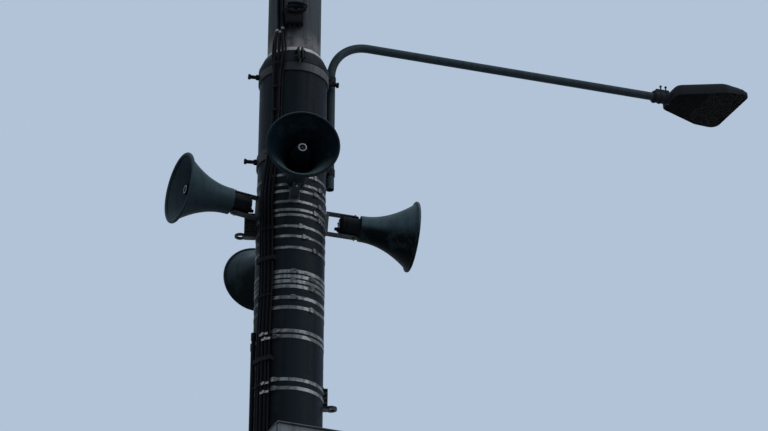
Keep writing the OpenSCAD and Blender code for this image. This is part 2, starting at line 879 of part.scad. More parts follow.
module cabinet_door() {
    half = cabinet_w / 2 - 4;
    color([0.62, 0.66, 0.7])
        cabinet_frame()
            difference() {
                union() {
                    box([cabinet_d - 20, cabinet_d], [-half, half], [6, cabinet_h - 8]);
                    box([cabinet_d, cabinet_d + 10], [half - 50, half - 26], [230, 320]);
                    for (z = [70, 390])
                        translate([cabinet_d - 8, -half, z]) cylinder(r = 6, h = 50);
                }
                box([cabinet_d - 21, cabinet_d - sheet_t], [4 - half, half - 4], [10, cabinet_h - 12]);
            }
}

// Channels that carry the cabinet on the pole
module cabinet_feet() {
    r = lower_r + pad_t;
    color([0.5, 0.52, 0.53])
        for (z = cabinet_foot_z) {
            pad(cabinet_az, z, foot_h / 2, cabinet_pad);
            difference() {
                rotate([0, 0, cabinet_az])
                    union() {
                        for (s = [-1, 1])
                            box([r - 20, cabinet_back], [s * 55 - 3, s * 55 + 3], [z - 20, z + 20]);
                        box([cabinet_back - 4, cabinet_back], [-58, 58], [z - 20, z + 20]);
                    }
                cylinder(r = r - sink, h = step_z);
                band_room(cabinet_foot_z);
            }
        }
}

base_flange();
lower_tube();
step_ring();
upper_tube();
pole_cap();
step_collar();
collar_strap();
arm_clamp();
clamp_bolts();
arm_saddles();
arm_caps();
lamp_arm();
lamp_spigot();
lamp_housing();
lamp_door();
lamp_glass();
lamp_board();
bell(FRONT);  // front_bell
reflector(FRONT);  // front_reflector
driver(FRONT);  // front_driver
yoke(FRONT);  // front_yoke
bell(LEFT);  // left_bell
reflector(LEFT);  // left_reflector
driver(LEFT);  // left_driver
yoke(LEFT);  // left_yoke
bell(RIGHT);  // right_bell
reflector(RIGHT);  // right_reflector
driver(RIGHT);  // right_driver
yoke(RIGHT);  // right_yoke
bell(REAR);  // rear_bell
reflector(REAR);  // rear_reflector
driver(REAR);  // rear_driver
yoke(REAR);  // rear_yoke
horn_bands();
lower_bands();
anchor(LEFT_ANCHOR);  // left_anchor
anchor(RIGHT_ANCHOR);  // right_anchor
cable_riser();
riser_cleats();
riser_hood();
conduits();
cable_guard();
junction_box();
cabinet_body();
cabinet_door();
cabinet_feet();
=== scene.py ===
import json
import math

import bmesh
import bpy
from mathutils import Matrix, Vector
from mathutils.geometry import convex_hull_2d


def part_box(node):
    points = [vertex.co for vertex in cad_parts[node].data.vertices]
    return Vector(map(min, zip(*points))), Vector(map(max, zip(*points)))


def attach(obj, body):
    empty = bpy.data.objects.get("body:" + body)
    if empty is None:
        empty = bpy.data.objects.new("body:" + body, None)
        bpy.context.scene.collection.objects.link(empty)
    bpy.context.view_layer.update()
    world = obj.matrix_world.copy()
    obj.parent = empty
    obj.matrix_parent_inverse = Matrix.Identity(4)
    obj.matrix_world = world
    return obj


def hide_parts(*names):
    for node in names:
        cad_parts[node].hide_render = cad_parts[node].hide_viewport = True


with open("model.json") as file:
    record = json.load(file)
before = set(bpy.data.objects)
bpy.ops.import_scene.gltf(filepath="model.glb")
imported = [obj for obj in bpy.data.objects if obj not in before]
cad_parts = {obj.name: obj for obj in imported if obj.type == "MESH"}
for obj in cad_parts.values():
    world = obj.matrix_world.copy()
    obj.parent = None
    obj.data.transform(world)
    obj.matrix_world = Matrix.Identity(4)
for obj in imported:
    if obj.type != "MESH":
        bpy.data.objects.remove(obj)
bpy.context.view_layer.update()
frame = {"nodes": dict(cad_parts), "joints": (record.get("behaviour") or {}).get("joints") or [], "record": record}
ROOT = "root"
HORNS = ("front", "left", "right", "rear")
UP = (0, 0, 1)

# Sizes read from the frame. The strap's lower edge lies a known drop below the step.
STRAP_DROP = 0.145
LOWER_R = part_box("lower_tube")[1].x
UPPER_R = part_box("upper_tube")[1].x
STEP_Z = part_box("collar_strap")[0].z + STRAP_DROP
FLANGE_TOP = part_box("lower_tube")[0].z
ARM_CLAMP_LOW, ARM_CLAMP_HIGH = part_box("arm_clamp")[0].z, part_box("arm_clamp")[1].z

# Step: the cone's foot, its turn and its top, the split clamp round it and the strap below
TUBE_WALL = 0.006
CONE_FOOT, CONE_TURN, CONE_TOP = STEP_Z - 0.091, STEP_Z - 0.060, STEP_Z + 0.023
CONE_TOP_R = UPPER_R + 0.006
CLAMP_R = LOWER_R + 0.008
COLLAR_TOP, COLLAR_TOP_R = STEP_Z - 0.004, UPPER_R + 0.022
STRAP_LOW, STRAP_HIGH = STEP_Z - STRAP_DROP, STEP_Z - 0.093

# Clamps: directions of their lugs and set bolts in degrees, and the sizes of a lug
COLLAR_LUG, ARM_LUG = -80, -40
SET_BOLTS = (8.6, 98.6, 188.6)
LUG_OUT, LUG_THICK, LUG_APART, LUG_BOLT_OUT = 0.034, 0.010, 0.011, 0.017
LUG_BOLT_BACK = 0.026

# Cables of the riser: direction at the step in degrees and radius. Then, at heights, their drift round
# the pole, how far they spread from their middle one, and how far they have moved in over the step.
CABLES = ((-127.9, 0.006), (-122.6, 0.008), (-116.3, 0.009), (-110.0, 0.008), (-104.7, 0.006))
DRIFT = ((8.00, -15.5), (8.40, -13.0), (8.88, -16.0), (9.39, 0.5), (9.60, 0.6), (9.855, 2.2), (10.12, -3.5))
SPREAD = ((8.90, 1.0), (9.36, 0.56), (9.60, 0.60), (9.80, 0.95), (9.93, 0.80), (10.10, 0.58))
MOVED_IN = ((9.855, 0.0), (10.040, 1.0))
CABLE_LOW, CABLE_HIGH = 2.300, 10.620
CABLE_SEAT = LOWER_R + 0.009
# Each second cable stands further out where they are gathered. All wander from side to side, by a share
# of a degree, with a phase per metre of height and per cable.
ODD_CABLE_OUT = 0.031
WANDER, WANDER_PER_METRE, WANDER_PER_CABLE = 0.35, 2.9, 1.7

# Conduits, as direction and radius, and what holds the riser: heights, and directions in degrees
CONDUITS = ((206.5, 0.011), (199, 0.007))
CONDUIT_GAP = 0.008
RISER_CLEATS = (8.520, 7.930, 6.900, 5.900, 4.900, 3.900, 2.900)
CLEAT_HALF, CLEAT_THICK = 0.012, 0.002
FLAT_TIES = [2.62 + 0.43 * i for i in range(13)] + [8.30, 8.70]
GATHERED_TIES = [9.16, 9.42, 9.57, 9.72]
RISER_CLIPS = ((8.071, -128.2), (8.040, -124.0), (7.783, -125.0), (7.733, -124.7))
SLEEVES = ((1, 9.952), (2, 9.935), (3, 9.962))

# Bands: heights and the directions of their locks
HORN_BANDS = ((9.025, -48), (8.965, -38), (8.925, -48), (8.861, -38), (8.811, -48),
              (8.779, -38), (8.711, -74), (8.650, -68), (8.582, -48))
MIDDLE_BANDS = ((8.438, -84), (8.408, -52), (8.379, -84), (8.349, -52), (8.284, -84),
                (8.225, -52), (8.087, -112), (8.055, -112))
ANCHOR_BANDS = ((7.806, -113), (7.756, -113))
# Feet that the horn bands pass over: direction, height, half height and half angle. The last is the anchor's.
BAND_FEET = ((-85.1, 8.948, 0.088, 9), (204, 8.867, 0.088, 9), (10, 8.845, 0.088, 9),
             (106, 8.796, 0.088, 9), (182, 8.784, 0.062, 8))
BAND_WIDTH, BAND_THICK, BAND_OFF = 0.0160, 0.0017, 0.0003
FOOT_THICK = 0.003

# Lamp: the arm's direction and rise, and its end as a distance from the pole's axis and a height
ARM_AZIMUTH, ARM_RISE = math.radians(21), math.radians(3.5)
ARM_END = (2.318, 10.1557)
LAMP_OUT, LAMP_LONG, LAMP_WIDE = 0.080, 0.440, 0.434
# Lamp's body and the raised cover on it, in plan: middles and radii of the circles that their outlines wrap
LAMP_PLAN = ((0.050, 0.060, 0.050), (LAMP_LONG * 0.68, LAMP_WIDE / 2 - 0.062, 0.055),
             (LAMP_LONG - 0.050, LAMP_WIDE / 2 - 0.050, 0.050))
LAMP_COVER = ((0.060, 0.060, 0.036), (LAMP_LONG * 0.62, LAMP_WIDE * 0.31, 0.042))
LAMP_RIM, LAMP_EDGE = 0.006, 0.0015
# Cover's shoulder: shares of the way in and of the way up
LAMP_SHOULDER = ((0.10, 0.35), (0.24, 0.62), (0.46, 0.84), (0.72, 0.95), (1.0, 1.0))

# Horn: places along its axis from the pivot, and heights above the axis
NOSE_X, DRIVER_END, DRIVER_R = 0.289, -0.088, 0.0545
STIRRUP_TOP = 0.0645

# Camera: a long lens at eye height, tilted up at the pole's head
EYE = Vector((0.0, -13.782, 1.600))
PITCH, YAW, ROLL = math.radians(27.840), math.radians(2.115), math.radians(0.137)
SENSOR_MM = 36.0
FOCAL_PIXELS = 2850
FRAME_PIXELS = 768

# Light and stage
SKY = (0.445, 0.546, 0.680, 1)
FLOOR_SEEN = (0.62, 0.65, 0.68, 1)
FLOOR_BOUNCE = (0.16, 0.17, 0.18, 1)
FLOOR_HALF = 400.0
DAYLIGHT = (0.92, 0.96, 1.0, 1)
SKY_LOW, SKY_TOP = 0.42, 1.35
FRONT_SHARE, BACK_SHARE = 0.92, 1.05
LEFT_SHARE, RIGHT_SHARE = 0.72, 1.15
# Soft lamps: power, spread in degrees and the way they shine
SOFT_LAMPS = {"key": (1.15, 50, (-0.80, 0.40, -0.75)), "fill": (0.20, 70, (0.70, 0.30, -0.60))}

# Finishes: base colours as the paints and metals look in plain light, save where painted light or shade is said to
# be in them
DARK_PAINT = (0.0055, 0.0095, 0.0138)
GREY_PAINT = (0.040, 0.049, 0.058)
BLEACHED_PAINT = (0.165, 0.162, 0.172)
HORN_PAINT = (0.0156, 0.0262, 0.0325)
# Reflector in the bell: the horn's grey-green painted dark as painted shade
REFLECTOR_SHADED = (0.0024, 0.0050, 0.0075)
DRIVER_PAINT = (0.0022, 0.0036, 0.0056)
STIRRUP_PAINT = (0.040, 0.050, 0.058)
BRIGHT_STEEL = (0.175, 0.185, 0.190)
RING_STEEL = (0.36, 0.37, 0.37)
NOSE_RING_STEEL = (0.24, 0.25, 0.25)
DULL_ZINC = (0.060, 0.070, 0.076)
STRAP_ZINC = (0.040, 0.047, 0.053)
CLAMP_ZINC = (0.026, 0.031, 0.036)
SCREW_ZINC = (0.20, 0.205, 0.205)
DARK_STEEL = (0.0075, 0.0098, 0.0130)
BARE_STEEL = (0.045, 0.040, 0.035)
ARM_PAINT = (0.022, 0.034, 0.044)
LAMP_PAINT = (0.0150, 0.0185, 0.0225)
# Door under the lamp: painted near-black as painted shade of the lamp's underside
DOOR_SHADED_PAINT = (0.0004, 0.0007, 0.0012)
DOOR_STAIN = (0.0006, 0.0008, 0.001)
TRAY_PLASTIC = (0.004, 0.005, 0.006)
CAST_ALLOY = (0.0085, 0.0108, 0.0135)
CABLE_SHEATH = (0.0016, 0.0023, 0.0038)
BOX_PLASTIC = (0.0045, 0.0058, 0.0078)
TIE_NYLON = (0.0060, 0.0068, 0.0080)
CABINET_PAINT = (0.120, 0.137, 0.158)
BASE_PAINT = (0.020, 0.026, 0.031)
# Soot of rain marks and dirty edges, which beside the riser is also painted shade
SOOT_AND_SHADE = (0.0016, 0.0024, 0.0036)
CHALK = (0.060, 0.072, 0.084)
POLE_CHALK = (0.020, 0.028, 0.036)
BELL_CHALK = (0.030, 0.046, 0.050)
LAMP_CHALK = (0.020, 0.026, 0.032)
DOOR_CHALK = (0.002, 0.003, 0.004)
CABINET_CHALK = (0.12, 0.135, 0.15)
RUST = (0.034, 0.018, 0.011)
PANE_CLEAN, PANE_CLOUDY = (0.085, 0.090, 0.095), (0.040, 0.043, 0.046)
# Optics: dark plastic, and a pale that also stands for their glints as painted glint
LENS_DARK, LENS_PALE_GLINT = (0.10, 0.13, 0.12), (0.34, 0.42, 0.38)

# Bells: painted light in each horn's outside tone, painted shade below, and the inside wall's painted light and
# shade
BELL_LIGHT_TONES = {"front": 1.0, "left": 2.05, "right": 2.4, "rear": 1.4}
BELL_UNDERSIDE_SHADE = {"front": 0.30, "left": 0.25, "right": 0.95, "rear": 0.75}
BELL_INSIDE_SHADING = {
    "front": (0.0034, 0.0084, 0.0132), "left": (0.0300, 0.0500, 0.0620),
    "right": (0.0200, 0.0360, 0.0440), "rear": (0.0105, 0.0180, 0.0250)}
# Bleached, dusty tops of the bells, light enough to stand also for painted light from the sky
BELL_BLEACH_AND_TOP_LIGHT = (0.062, 0.086, 0.094)


def polar(radius, azimuth, height):
    """Point at a direction in degrees about the pole's axis."""
    a = math.radians(azimuth)
    return Vector((radius * math.cos(a), radius * math.sin(a), height))


def facing(azimuth, height=0.0):
    """Frame on the pole's axis at a height, with X out in a direction in degrees."""
    return Matrix.Translation((0, 0, height)) @ Matrix.Rotation(math.radians(azimuth), 4, "Z")


def pointing(direction):
    """Turn that brings X into a direction."""
    return direction.to_track_quat("X", "Z").to_matrix().to_4x4()


def horn_matrix(name):
    """Frame of a horn at rest: origin at its pivot, X out through the mouth, Z along the stirrup bolts."""
    joint = next(j for j in frame["joints"] if j["name"] == name + "_horn_turn")
    pivot = Vector(joint["pos_m"])
    up = Vector(joint["axis"]).normalized()
    out = Vector((pivot.x, pivot.y, 0)).normalized()
    out = (out - up * out.dot(up)).normalized()
    turn = Matrix((out, up.cross(out), up)).transposed().to_4x4()
    return Matrix.Translation(pivot) @ turn


class Net:
    """Adds nodes to a tree. Values are set on sockets, and sockets of other nodes are linked."""

    def __init__(self, tree):
        self.tree = tree

    def feed(self, socket, value):
        if isinstance(value, bpy.types.NodeSocket):
            self.tree.links.new(value, socket)
        else:
            socket.default_value = value

    def add(self, kind, inputs=None, **settings):
        node = self.tree.nodes.new(kind)
        for name, value in settings.items():
            setattr(node, name, value)
        for name, value in (inputs or {}).items():
            self.feed(node.inputs[name], value)
        return node

    def math(self, operation, a, b=0.0, clamp=False):
        return self.add("ShaderNodeMath", {0: a, 1: b}, operation=operation, use_clamp=clamp).outputs[0]

    def plus(self, a, b, clamp=False):
        return self.math("ADD", a, b, clamp)

    def times(self, a, b):
        return self.math("MULTIPLY", a, b)

    def vector(self, operation, a, b=(0.0, 0.0, 0.0)):
        return self.add("ShaderNodeVectorMath", {0: a, 1: b}, operation=operation).outputs["Vector"]

    def dot(self, a, b):
        return self.add("ShaderNodeVectorMath", {0: a, 1: b}, operation="DOT_PRODUCT").outputs["Value"]

    def scaled(self, vector, scale):
        inputs = {0: vector, "Scale": scale}
        return self.add("ShaderNodeVectorMath", inputs, operation="SCALE").outputs["Vector"]

    def xyz(self, x=0.0, y=0.0, z=0.0):
        return self.add("ShaderNodeCombineXYZ", {"X": x, "Y": y, "Z": z}).outputs[0]

    def axes(self, vector):
        return self.add("ShaderNodeSeparateXYZ", {"Vector": vector}).outputs

    def ramp(self, value, low, high, to_low=0.0, to_high=1.0):
        """Smooth step of a value from one range to another."""
        inputs = {"Value": value, "From Min": low, "From Max": high, "To Min": to_low, "To Max": to_high}
        return self.add("ShaderNodeMapRange", inputs, interpolation_type="SMOOTHSTEP").outputs["Result"]

    def mix(self, factor, a, b):
        node = self.add("ShaderNodeMix", data_type="RGBA", clamp_factor=True)
        self.feed(node.inputs["Factor"], factor)
        self.feed(node.inputs[6], a)
        self.feed(node.inputs[7], b)
        return node.outputs[2]

    def noise(self, vector, scale, detail=4.0, roughness=0.55):
        inputs = {"Vector": vector, "Scale": scale, "Detail": detail, "Roughness": roughness}
        return self.add("ShaderNodeTexNoise", inputs).outputs["Fac"]

    def object_point(self):
        return self.add("ShaderNodeTexCoord").outputs["Object"]

    def ragged(self, scale, reach):
        """Noise about zero that a position is shifted by, so that an edge comes out ragged."""
        return self.times(self.math("SUBTRACT", self.noise(self.object_point(), scale), 0.5), reach)

    def bump(self, height, strength, distance=0.001):
        inputs = {"Height": height, "Strength": strength, "Distance": distance}
        return self.add("ShaderNodeBump", inputs).outputs["Normal"]


def colour(rgb, share=1.0, added=0.0):
    """Colour with its alpha, at a share of its strength and with a little grey added."""
    return (*[share * c + added for c in rgb], 1.0)


def blend(one, two, share):
    """Colour with a share of another in it."""
    return colour([(1 - share) * a + share * b for a, b in zip(one, two)])


def shader_group(name, inputs, outputs, build):
    """Makes a shader node group with named sockets, and lets build fill it."""
    tree = bpy.data.node_groups.new(name, "ShaderNodeTree")
    for label, default in inputs.items():
        socket = tree.interface.new_socket(label, in_out="INPUT", socket_type="NodeSocketFloat")
        socket.default_value = default
    for label in outputs:
        tree.interface.new_socket(label, in_out="OUTPUT", socket_type="NodeSocketFloat")
    net = Net(tree)
    given = tree.nodes.new("NodeGroupInput").outputs
    made = build(net, given)
    result = tree.nodes.new("NodeGroupOutput")
    for label, value in zip(outputs, made):
        net.feed(result.inputs[label], value)
    return tree


def build_streaks(net, given):
    """Rain marks: noise drawn out along the pole."""
    stretch = net.xyz(given["Across"], given["Across"], given["Along"])
    point = net.vector("MULTIPLY", net.object_point(), stretch)
    coarse = net.noise(point, 1.0, 5.0, 0.6)
    fine = net.noise(point, 3.7, 3.0, 0.6)
    both = net.plus(net.times(coarse, 0.7), net.times(fine, 0.3))
    return [net.times(net.ramp(both, 0.47, 0.66), given["Amount"])]


def build_blotches(net, given):
    """Patches of chalked or stained paint with ragged edges."""
    wide = net.noise(net.object_point(), given["Scale"], 8.0, 0.62)
    patch = net.ramp(wide, given["Edge"], net.plus(given["Edge"], 0.09))
    return [net.times(patch, given["Amount"])]


def build_grain(net, given):
    """Fine unevenness of a paint film or a casting: its height and its effect on the gloss."""
    point = net.object_point()
    peel = net.noise(point, given["Scale"], 3.0, 0.5)
    wave = net.noise(point, net.times(given["Scale"], 0.09), 3.0, 0.5)
    height = net.plus(peel, net.times(wave, given["Waviness"]))
    gloss = net.times(net.math("SUBTRACT", wave, 0.5), given["Gloss change"])
    return [height, gloss]


def build_edge_wear(net, given):
    """Rubbed edges: where a rounded normal leaves the true one, broken up by noise."""
    rounded = net.add("ShaderNodeBevel", {"Radius": given["Radius"]}, samples=4).outputs[0]
    meet = net.dot(rounded, net.add("ShaderNodeNewGeometry").outputs["Normal"])
    edge = net.ramp(net.math("SUBTRACT", 1.0, meet), 0.02, 0.20)
    broken = net.ramp(net.noise(net.object_point(), given["Scale"], 5.0, 0.65), 0.42, 0.62)
    return [net.times(net.times(edge, broken), given["Amount"])]


def build_settled_dust(net, given):
    """Dust that lies on faces turned upwards."""
    up = net.axes(net.add("ShaderNodeNewGeometry").outputs["Normal"])["Z"]
    patchy = net.ramp(net.noise(net.object_point(), 14.0, 5.0, 0.6), 0.30, 0.62, 0.45, 1.0)
    return [net.times(net.times(net.ramp(up, 0.15, 0.85), patchy), given["Amount"])]


def build_spangle(net, given):
    """Zinc crystals: flat grey cells with a faint relief."""
    cells = net.add("ShaderNodeTexVoronoi", {"Vector": net.object_point(), "Scale": given["Scale"]})
    return [net.axes(cells.outputs["Color"])["X"], cells.outputs["Distance"]]


def build_brushing(net, given):
    """Fine rolled lines that run round the pole, as on drawn strip."""
    point = net.vector("MULTIPLY", net.object_point(), net.xyz(6.0, 6.0, given["Lines"]))
    return [net.noise(point, 1.0, 4.0, 0.7)]


STREAKS = shader_group("rain_streaks", {"Across": 26.0, "Along": 0.9, "Amount": 0.6}, ["Mask"], build_streaks)
BLOTCHES = shader_group(
    "paint_blotches", {"Scale": 3.0, "Edge": 0.52, "Amount": 0.6}, ["Mask"], build_blotches)
GRAIN = shader_group(
    "surface_grain", {"Scale": 420.0, "Waviness": 1.5, "Gloss change": 0.4}, ["Height", "Gloss"], build_grain)
WEAR = shader_group("edge_wear", {"Radius": 0.0012, "Scale": 60.0, "Amount": 0.8}, ["Mask"], build_edge_wear)
DUST = shader_group("settled_dust", {"Amount": 0.4}, ["Mask"], build_settled_dust)
SPANGLE = shader_group("zinc_spangle", {"Scale": 90.0}, ["Shade", "Relief"], build_spangle)
BRUSHING = shader_group("strip_brushing", {"Lines": 900.0}, ["Lines"], build_brushing)


def use(net, group, **inputs):
    """Places a shared group in a material with its own values."""
    node = net.add("ShaderNodeGroup", node_tree=group)
    for name, value in inputs.items():
        net.feed(node.inputs[name.replace("_", " ")], value)
    return node.outputs


def new_material(name):
    material = bpy.data.materials.new(name)
    material.use_nodes = True
    return material, Net(material.node_tree), material.node_tree.nodes["Principled BSDF"]


def paint(name, base, roughness=0.5, streaks=0.4, blotches=0.3, wear=0.5, dust=0.25, peel=0.25, gloss=0.04,
          stain=SOOT_AND_SHADE, chalk=CHALK, bare=RUST, blotch_scale=3.0, streak_across=26.0, streak_along=0.9,
          bleach_and_top_light=None, coat=None):
    """Weathered paint: chalked patches, rain streaks, dust on top, rubbed edges and a waved film.

    Bleach and top light is the colour of its upper sides: sun-bleached paint, and on the bells also painted light
    from the sky. A coat adds nodes that change its own colour in places, in some of them painted light and shade."""
    material, net, shader = new_material(name)
    shader.inputs["Specular IOR Level"].default_value = gloss
    patch = use(net, BLOTCHES, Scale=blotch_scale, Amount=blotches)["Mask"]
    run = use(net, STREAKS, Across=streak_across, Along=streak_along, Amount=streaks)["Mask"]
    settled = use(net, DUST, Amount=dust)["Mask"]
    rubbed = use(net, WEAR, Amount=wear)["Mask"]
    grain = use(net, GRAIN)
    ground = coat(net, colour(base)) if coat else colour(base)
    tone = net.mix(patch, ground, blend(base, chalk, 0.28))
    tone = net.mix(run, tone, colour(stain))
    tone = net.mix(settled, tone, colour(bleach_and_top_light) if bleach_and_top_light else blend(base, chalk, 0.30))
    net.feed(shader.inputs["Base Color"], net.mix(rubbed, tone, colour(bare)))
    rough = net.plus(net.plus(roughness, grain["Gloss"]), net.times(patch, 0.2))
    net.feed(shader.inputs["Roughness"], net.plus(rough, net.times(run, 0.12), clamp=True))
    net.feed(shader.inputs["Normal"], net.bump(grain["Height"], peel))
    return material


def painted_band_shade(net):
    """Painted shade on the bands: dark beside the riser's cables, and under the middle of the front horn, where it
    shades them.
    """
    point = net.axes(net.object_point())
    ragged = net.ragged(14.0, 0.14)
    across = net.plus(point["X"], ragged)
    beside = net.ramp(across, -0.105, -0.050, 0.92, 0.0)
    height = net.ramp(net.plus(point["Z"], ragged), 8.86, 8.93)
    middle = net.ramp(net.math("ABSOLUTE", across), 0.04, 0.075, 0.9, 0.0)
    return net.math("MAXIMUM", beside, net.times(height, middle))


def painted_clamp_shade(net):
    """Painted shade on the clamps: thick on the side of the riser, thinning out round the front towards the lit
    right.
    """
    across = net.plus(net.axes(net.object_point())["X"], net.ragged(12.0, 0.10))
    return net.ramp(across, 0.02, 0.15, 0.95, 0.0)


def riser_soot_and_shade(net, own):
    """Coat of the lower tube: black behind and beside the riser, on its front half and below the step: soot, and
    painted shade of the riser's cables.
    """
    point = net.axes(net.object_point())
    ragged = net.ragged(10.0, 0.16)
    side = net.ramp(net.plus(point["X"], ragged), -0.09, -0.03, 0.85, 0.0)
    front = net.ramp(point["Y"], -0.06, 0.0, 1.0, 0.0)
    height = net.ramp(net.plus(point["Z"], ragged), 8.95, 9.15, 1.0, 0.0)
    return net.mix(net.times(net.times(side, front), height), own, colour(SOOT_AND_SHADE))


def bleached_foot(net, own):
    """Coat of the upper tube: bleached over the cone, and its own colour from a little higher up."""
    height = net.plus(net.axes(net.object_point())["Z"], net.ragged(9.0, 0.16))
    return net.mix(net.ramp(height, CONE_TOP - 0.01, CONE_TOP + 0.13, 1.0, 0.0), own, colour(BLEACHED_PAINT))


def bell_coat(horn):
    """Coat of a bell: its own colour outside, painted shade below, and the painted light and shade of the wall
    that faces its axis.
    """
    matrix = horn_matrix(horn)
    pivot = tuple(matrix.to_translation())
    axis = tuple(matrix.to_3x3() @ Vector((1, 0, 0)))

    def coat(net, own):
        spot = net.vector("SUBTRACT", net.object_point(), pivot)
        on_axis = net.scaled(axis, net.dot(spot, axis))
        outward = net.vector("NORMALIZE", net.vector("SUBTRACT", spot, on_axis))
        normal = net.add("ShaderNodeTexCoord").outputs["Normal"]
        lift = net.plus(net.axes(normal)["Z"], net.ragged(7.0, 0.30))
        # Painted shade on faces turned down
        below = net.ramp(lift, -0.45, 0.05, BELL_UNDERSIDE_SHADE[horn], 0.0)
        outer = net.mix(below, own, colour(HORN_PAINT, 0.10))
        # Painted light and shade on the wall that faces the axis
        facing_in = net.ramp(net.dot(outward, normal), 0.10, 0.45, 1.0, 0.0)
        return net.mix(facing_in, outer, colour(BELL_INSIDE_SHADING[horn]))
    return coat


def zinc(name, base=DULL_ZINC, roughness=0.55, metallic=0.75, streaks=0.35, rust=0.25, shade=None):
    """Galvanised steel: spangled crystals, white bloom, and rust at its rubbed edges."""
    material, net, shader = new_material(name)
    cells = use(net, SPANGLE)
    bloom = use(net, BLOTCHES, Scale=9.0, Edge=0.54, Amount=0.45)["Mask"]
    run = use(net, STREAKS, Across=30.0, Along=1.2, Amount=streaks)["Mask"]
    rubbed = use(net, WEAR, Radius=0.0014, Scale=48.0, Amount=rust)["Mask"]
    tinted = net.scaled(base, net.ramp(cells["Shade"], 0.0, 1.0, 0.75, 1.2))
    tone = net.mix(bloom, tinted, colour(base, 1.7))
    tone = net.mix(run, tone, colour(SOOT_AND_SHADE))
    # Painted shade, where a shade is given
    if shade:
        tone = net.mix(shade(net), tone, colour(base, 0.15))
    net.feed(shader.inputs["Base Color"], net.mix(rubbed, tone, colour(RUST)))
    metal = net.math("SUBTRACT", metallic, net.times(rubbed, 0.6), clamp=True)
    net.feed(shader.inputs["Metallic"], metal)
    net.feed(shader.inputs["Roughness"], net.plus(roughness, net.times(bloom, 0.25), clamp=True))
    net.feed(shader.inputs["Normal"], net.bump(cells["Relief"], 0.15, 0.0004))
    return material


def strip_steel(name, base=BRIGHT_STEEL, roughness=0.42, grime=0.75, edge_dirt=0.0, shade=None):
    """Bright strap with rolled lines, dulled in patches by grime.

    Dirt lies along its edges, and a shade adds nodes that say where else it is painted black: painted shade."""
    material, net, shader = new_material(name)
    lines = use(net, BRUSHING)["Lines"]
    dull = use(net, BLOTCHES, Scale=11.0, Edge=0.46, Amount=grime)["Mask"]
    run = use(net, STREAKS, Across=34.0, Along=3.0, Amount=grime)["Mask"]
    tinted = net.scaled(base, net.ramp(lines, 0.25, 0.75, 0.82, 1.08))
    tone = net.mix(dull, tinted, colour(base, 0.38))
    tone = net.mix(run, tone, colour(base, 0.18))
    if edge_dirt:
        dirt = use(net, WEAR, Radius=0.0050, Scale=25.0, Amount=edge_dirt)["Mask"]
        tone = net.mix(dirt, tone, colour(SOOT_AND_SHADE))
    # Painted shade, where a shade is given
    if shade:
        tone = net.mix(shade(net), tone, colour(base, 0.10))
    net.feed(shader.inputs["Base Color"], tone)
    shader.inputs["Metallic"].default_value = 0.70
    net.feed(shader.inputs["Roughness"], net.plus(roughness, net.times(dull, 0.3), clamp=True))
    net.feed(shader.inputs["Normal"], net.bump(lines, 0.2, 0.0002))
    return material


def cast_metal(name, base, roughness=0.62, metallic=0.6):
    """Sand-cast alloy: pitted skin, dark in its hollows."""
    material, net, shader = new_material(name)
    grain = use(net, GRAIN, Scale=260.0, Waviness=2.4, Gloss_change=0.3)
    dull = use(net, BLOTCHES, Scale=16.0, Edge=0.48, Amount=0.6)["Mask"]
    settled = use(net, DUST, Amount=0.3)["Mask"]
    tone = net.mix(dull, colour(base), colour(base, 0.45))
    net.feed(shader.inputs["Base Color"], net.mix(settled, tone, colour(base, 2.5)))
    shader.inputs["Metallic"].default_value = metallic
    net.feed(shader.inputs["Roughness"], net.plus(roughness, grain["Gloss"], clamp=True))
    net.feed(shader.inputs["Normal"], net.bump(grain["Height"], 0.5, 0.0012))
    return material


def polymer(name, base, roughness=0.55, chalked=0.3, grain_scale=700.0, relief=0.3):
    """Weathered plastic or cable sheath: a fine skin, greyed in patches."""
    material, net, shader = new_material(name)
    grain = use(net, GRAIN, Scale=grain_scale, Waviness=0.8, Gloss_change=0.35)
    grey = use(net, BLOTCHES, Scale=7.0, Edge=0.50, Amount=chalked)["Mask"]
    settled = use(net, DUST, Amount=0.35)["Mask"]
    shader.inputs["Specular IOR Level"].default_value = 0.06
    tone = net.mix(grey, colour(base), colour(base, 0.8, 0.0025))
    net.feed(shader.inputs["Base Color"], net.mix(settled, tone, colour(base, 0.8, 0.005)))
    net.feed(shader.inputs["Roughness"], net.plus(roughness, grain["Gloss"], clamp=True))
    net.feed(shader.inputs["Normal"], net.bump(grain["Height"], relief, 0.0006))
    return material


def clear_pane(name):
    """Lamp glass: smoke-grey, and darker and rougher where dust clouds it."""
    material, net, shader = new_material(name)
    smear = use(net, BLOTCHES, Scale=12.0, Edge=0.50, Amount=1.0)["Mask"]
    net.feed(shader.inputs["Base Color"], net.mix(smear, colour(PANE_CLEAN), colour(PANE_CLOUDY)))
    net.feed(shader.inputs["Roughness"], net.ramp(smear, 0.0, 1.0, 0.0, 0.04))
    shader.inputs["IOR"].default_value = 1.05
    shader.inputs["Specular IOR Level"].default_value = 0.0
    shader.inputs["Transmission Weight"].default_value = 1.0
    return material


def lens_plastic(name):
    """Moulded optic over each light source: cloudy and greyed, and pale in places that also stand in for its
    glints as painted glint, since it has no shine of its own.
    """
    material, net, shader = new_material(name)
    cloud = net.noise(net.object_point(), 120.0, 2.0, 0.5)
    net.feed(shader.inputs["Base Color"], net.mix(cloud, colour(LENS_DARK), colour(LENS_PALE_GLINT)))
    shader.inputs["Roughness"].default_value = 0.5
    shader.inputs["Specular IOR Level"].default_value = 0.0
    return material


def bell_paint(horn):
    """Enamel of one horn's bell, streaked along its flare; bleached on top with painted light from the sky,
    brightened per horn as painted light, and with painted shade below and inside.
    """
    return paint(horn + "_bell_enamel", [BELL_LIGHT_TONES[horn] * c for c in HORN_PAINT], 0.40, streaks=0.3,
                 blotches=0.35, wear=0.35, dust=0.9, gloss=0.015, chalk=BELL_CHALK, blotch_scale=8.0,
                 streak_across=40.0, streak_along=5.0, bleach_and_top_light=BELL_BLEACH_AND_TOP_LIGHT, coat=bell_coat(horn))


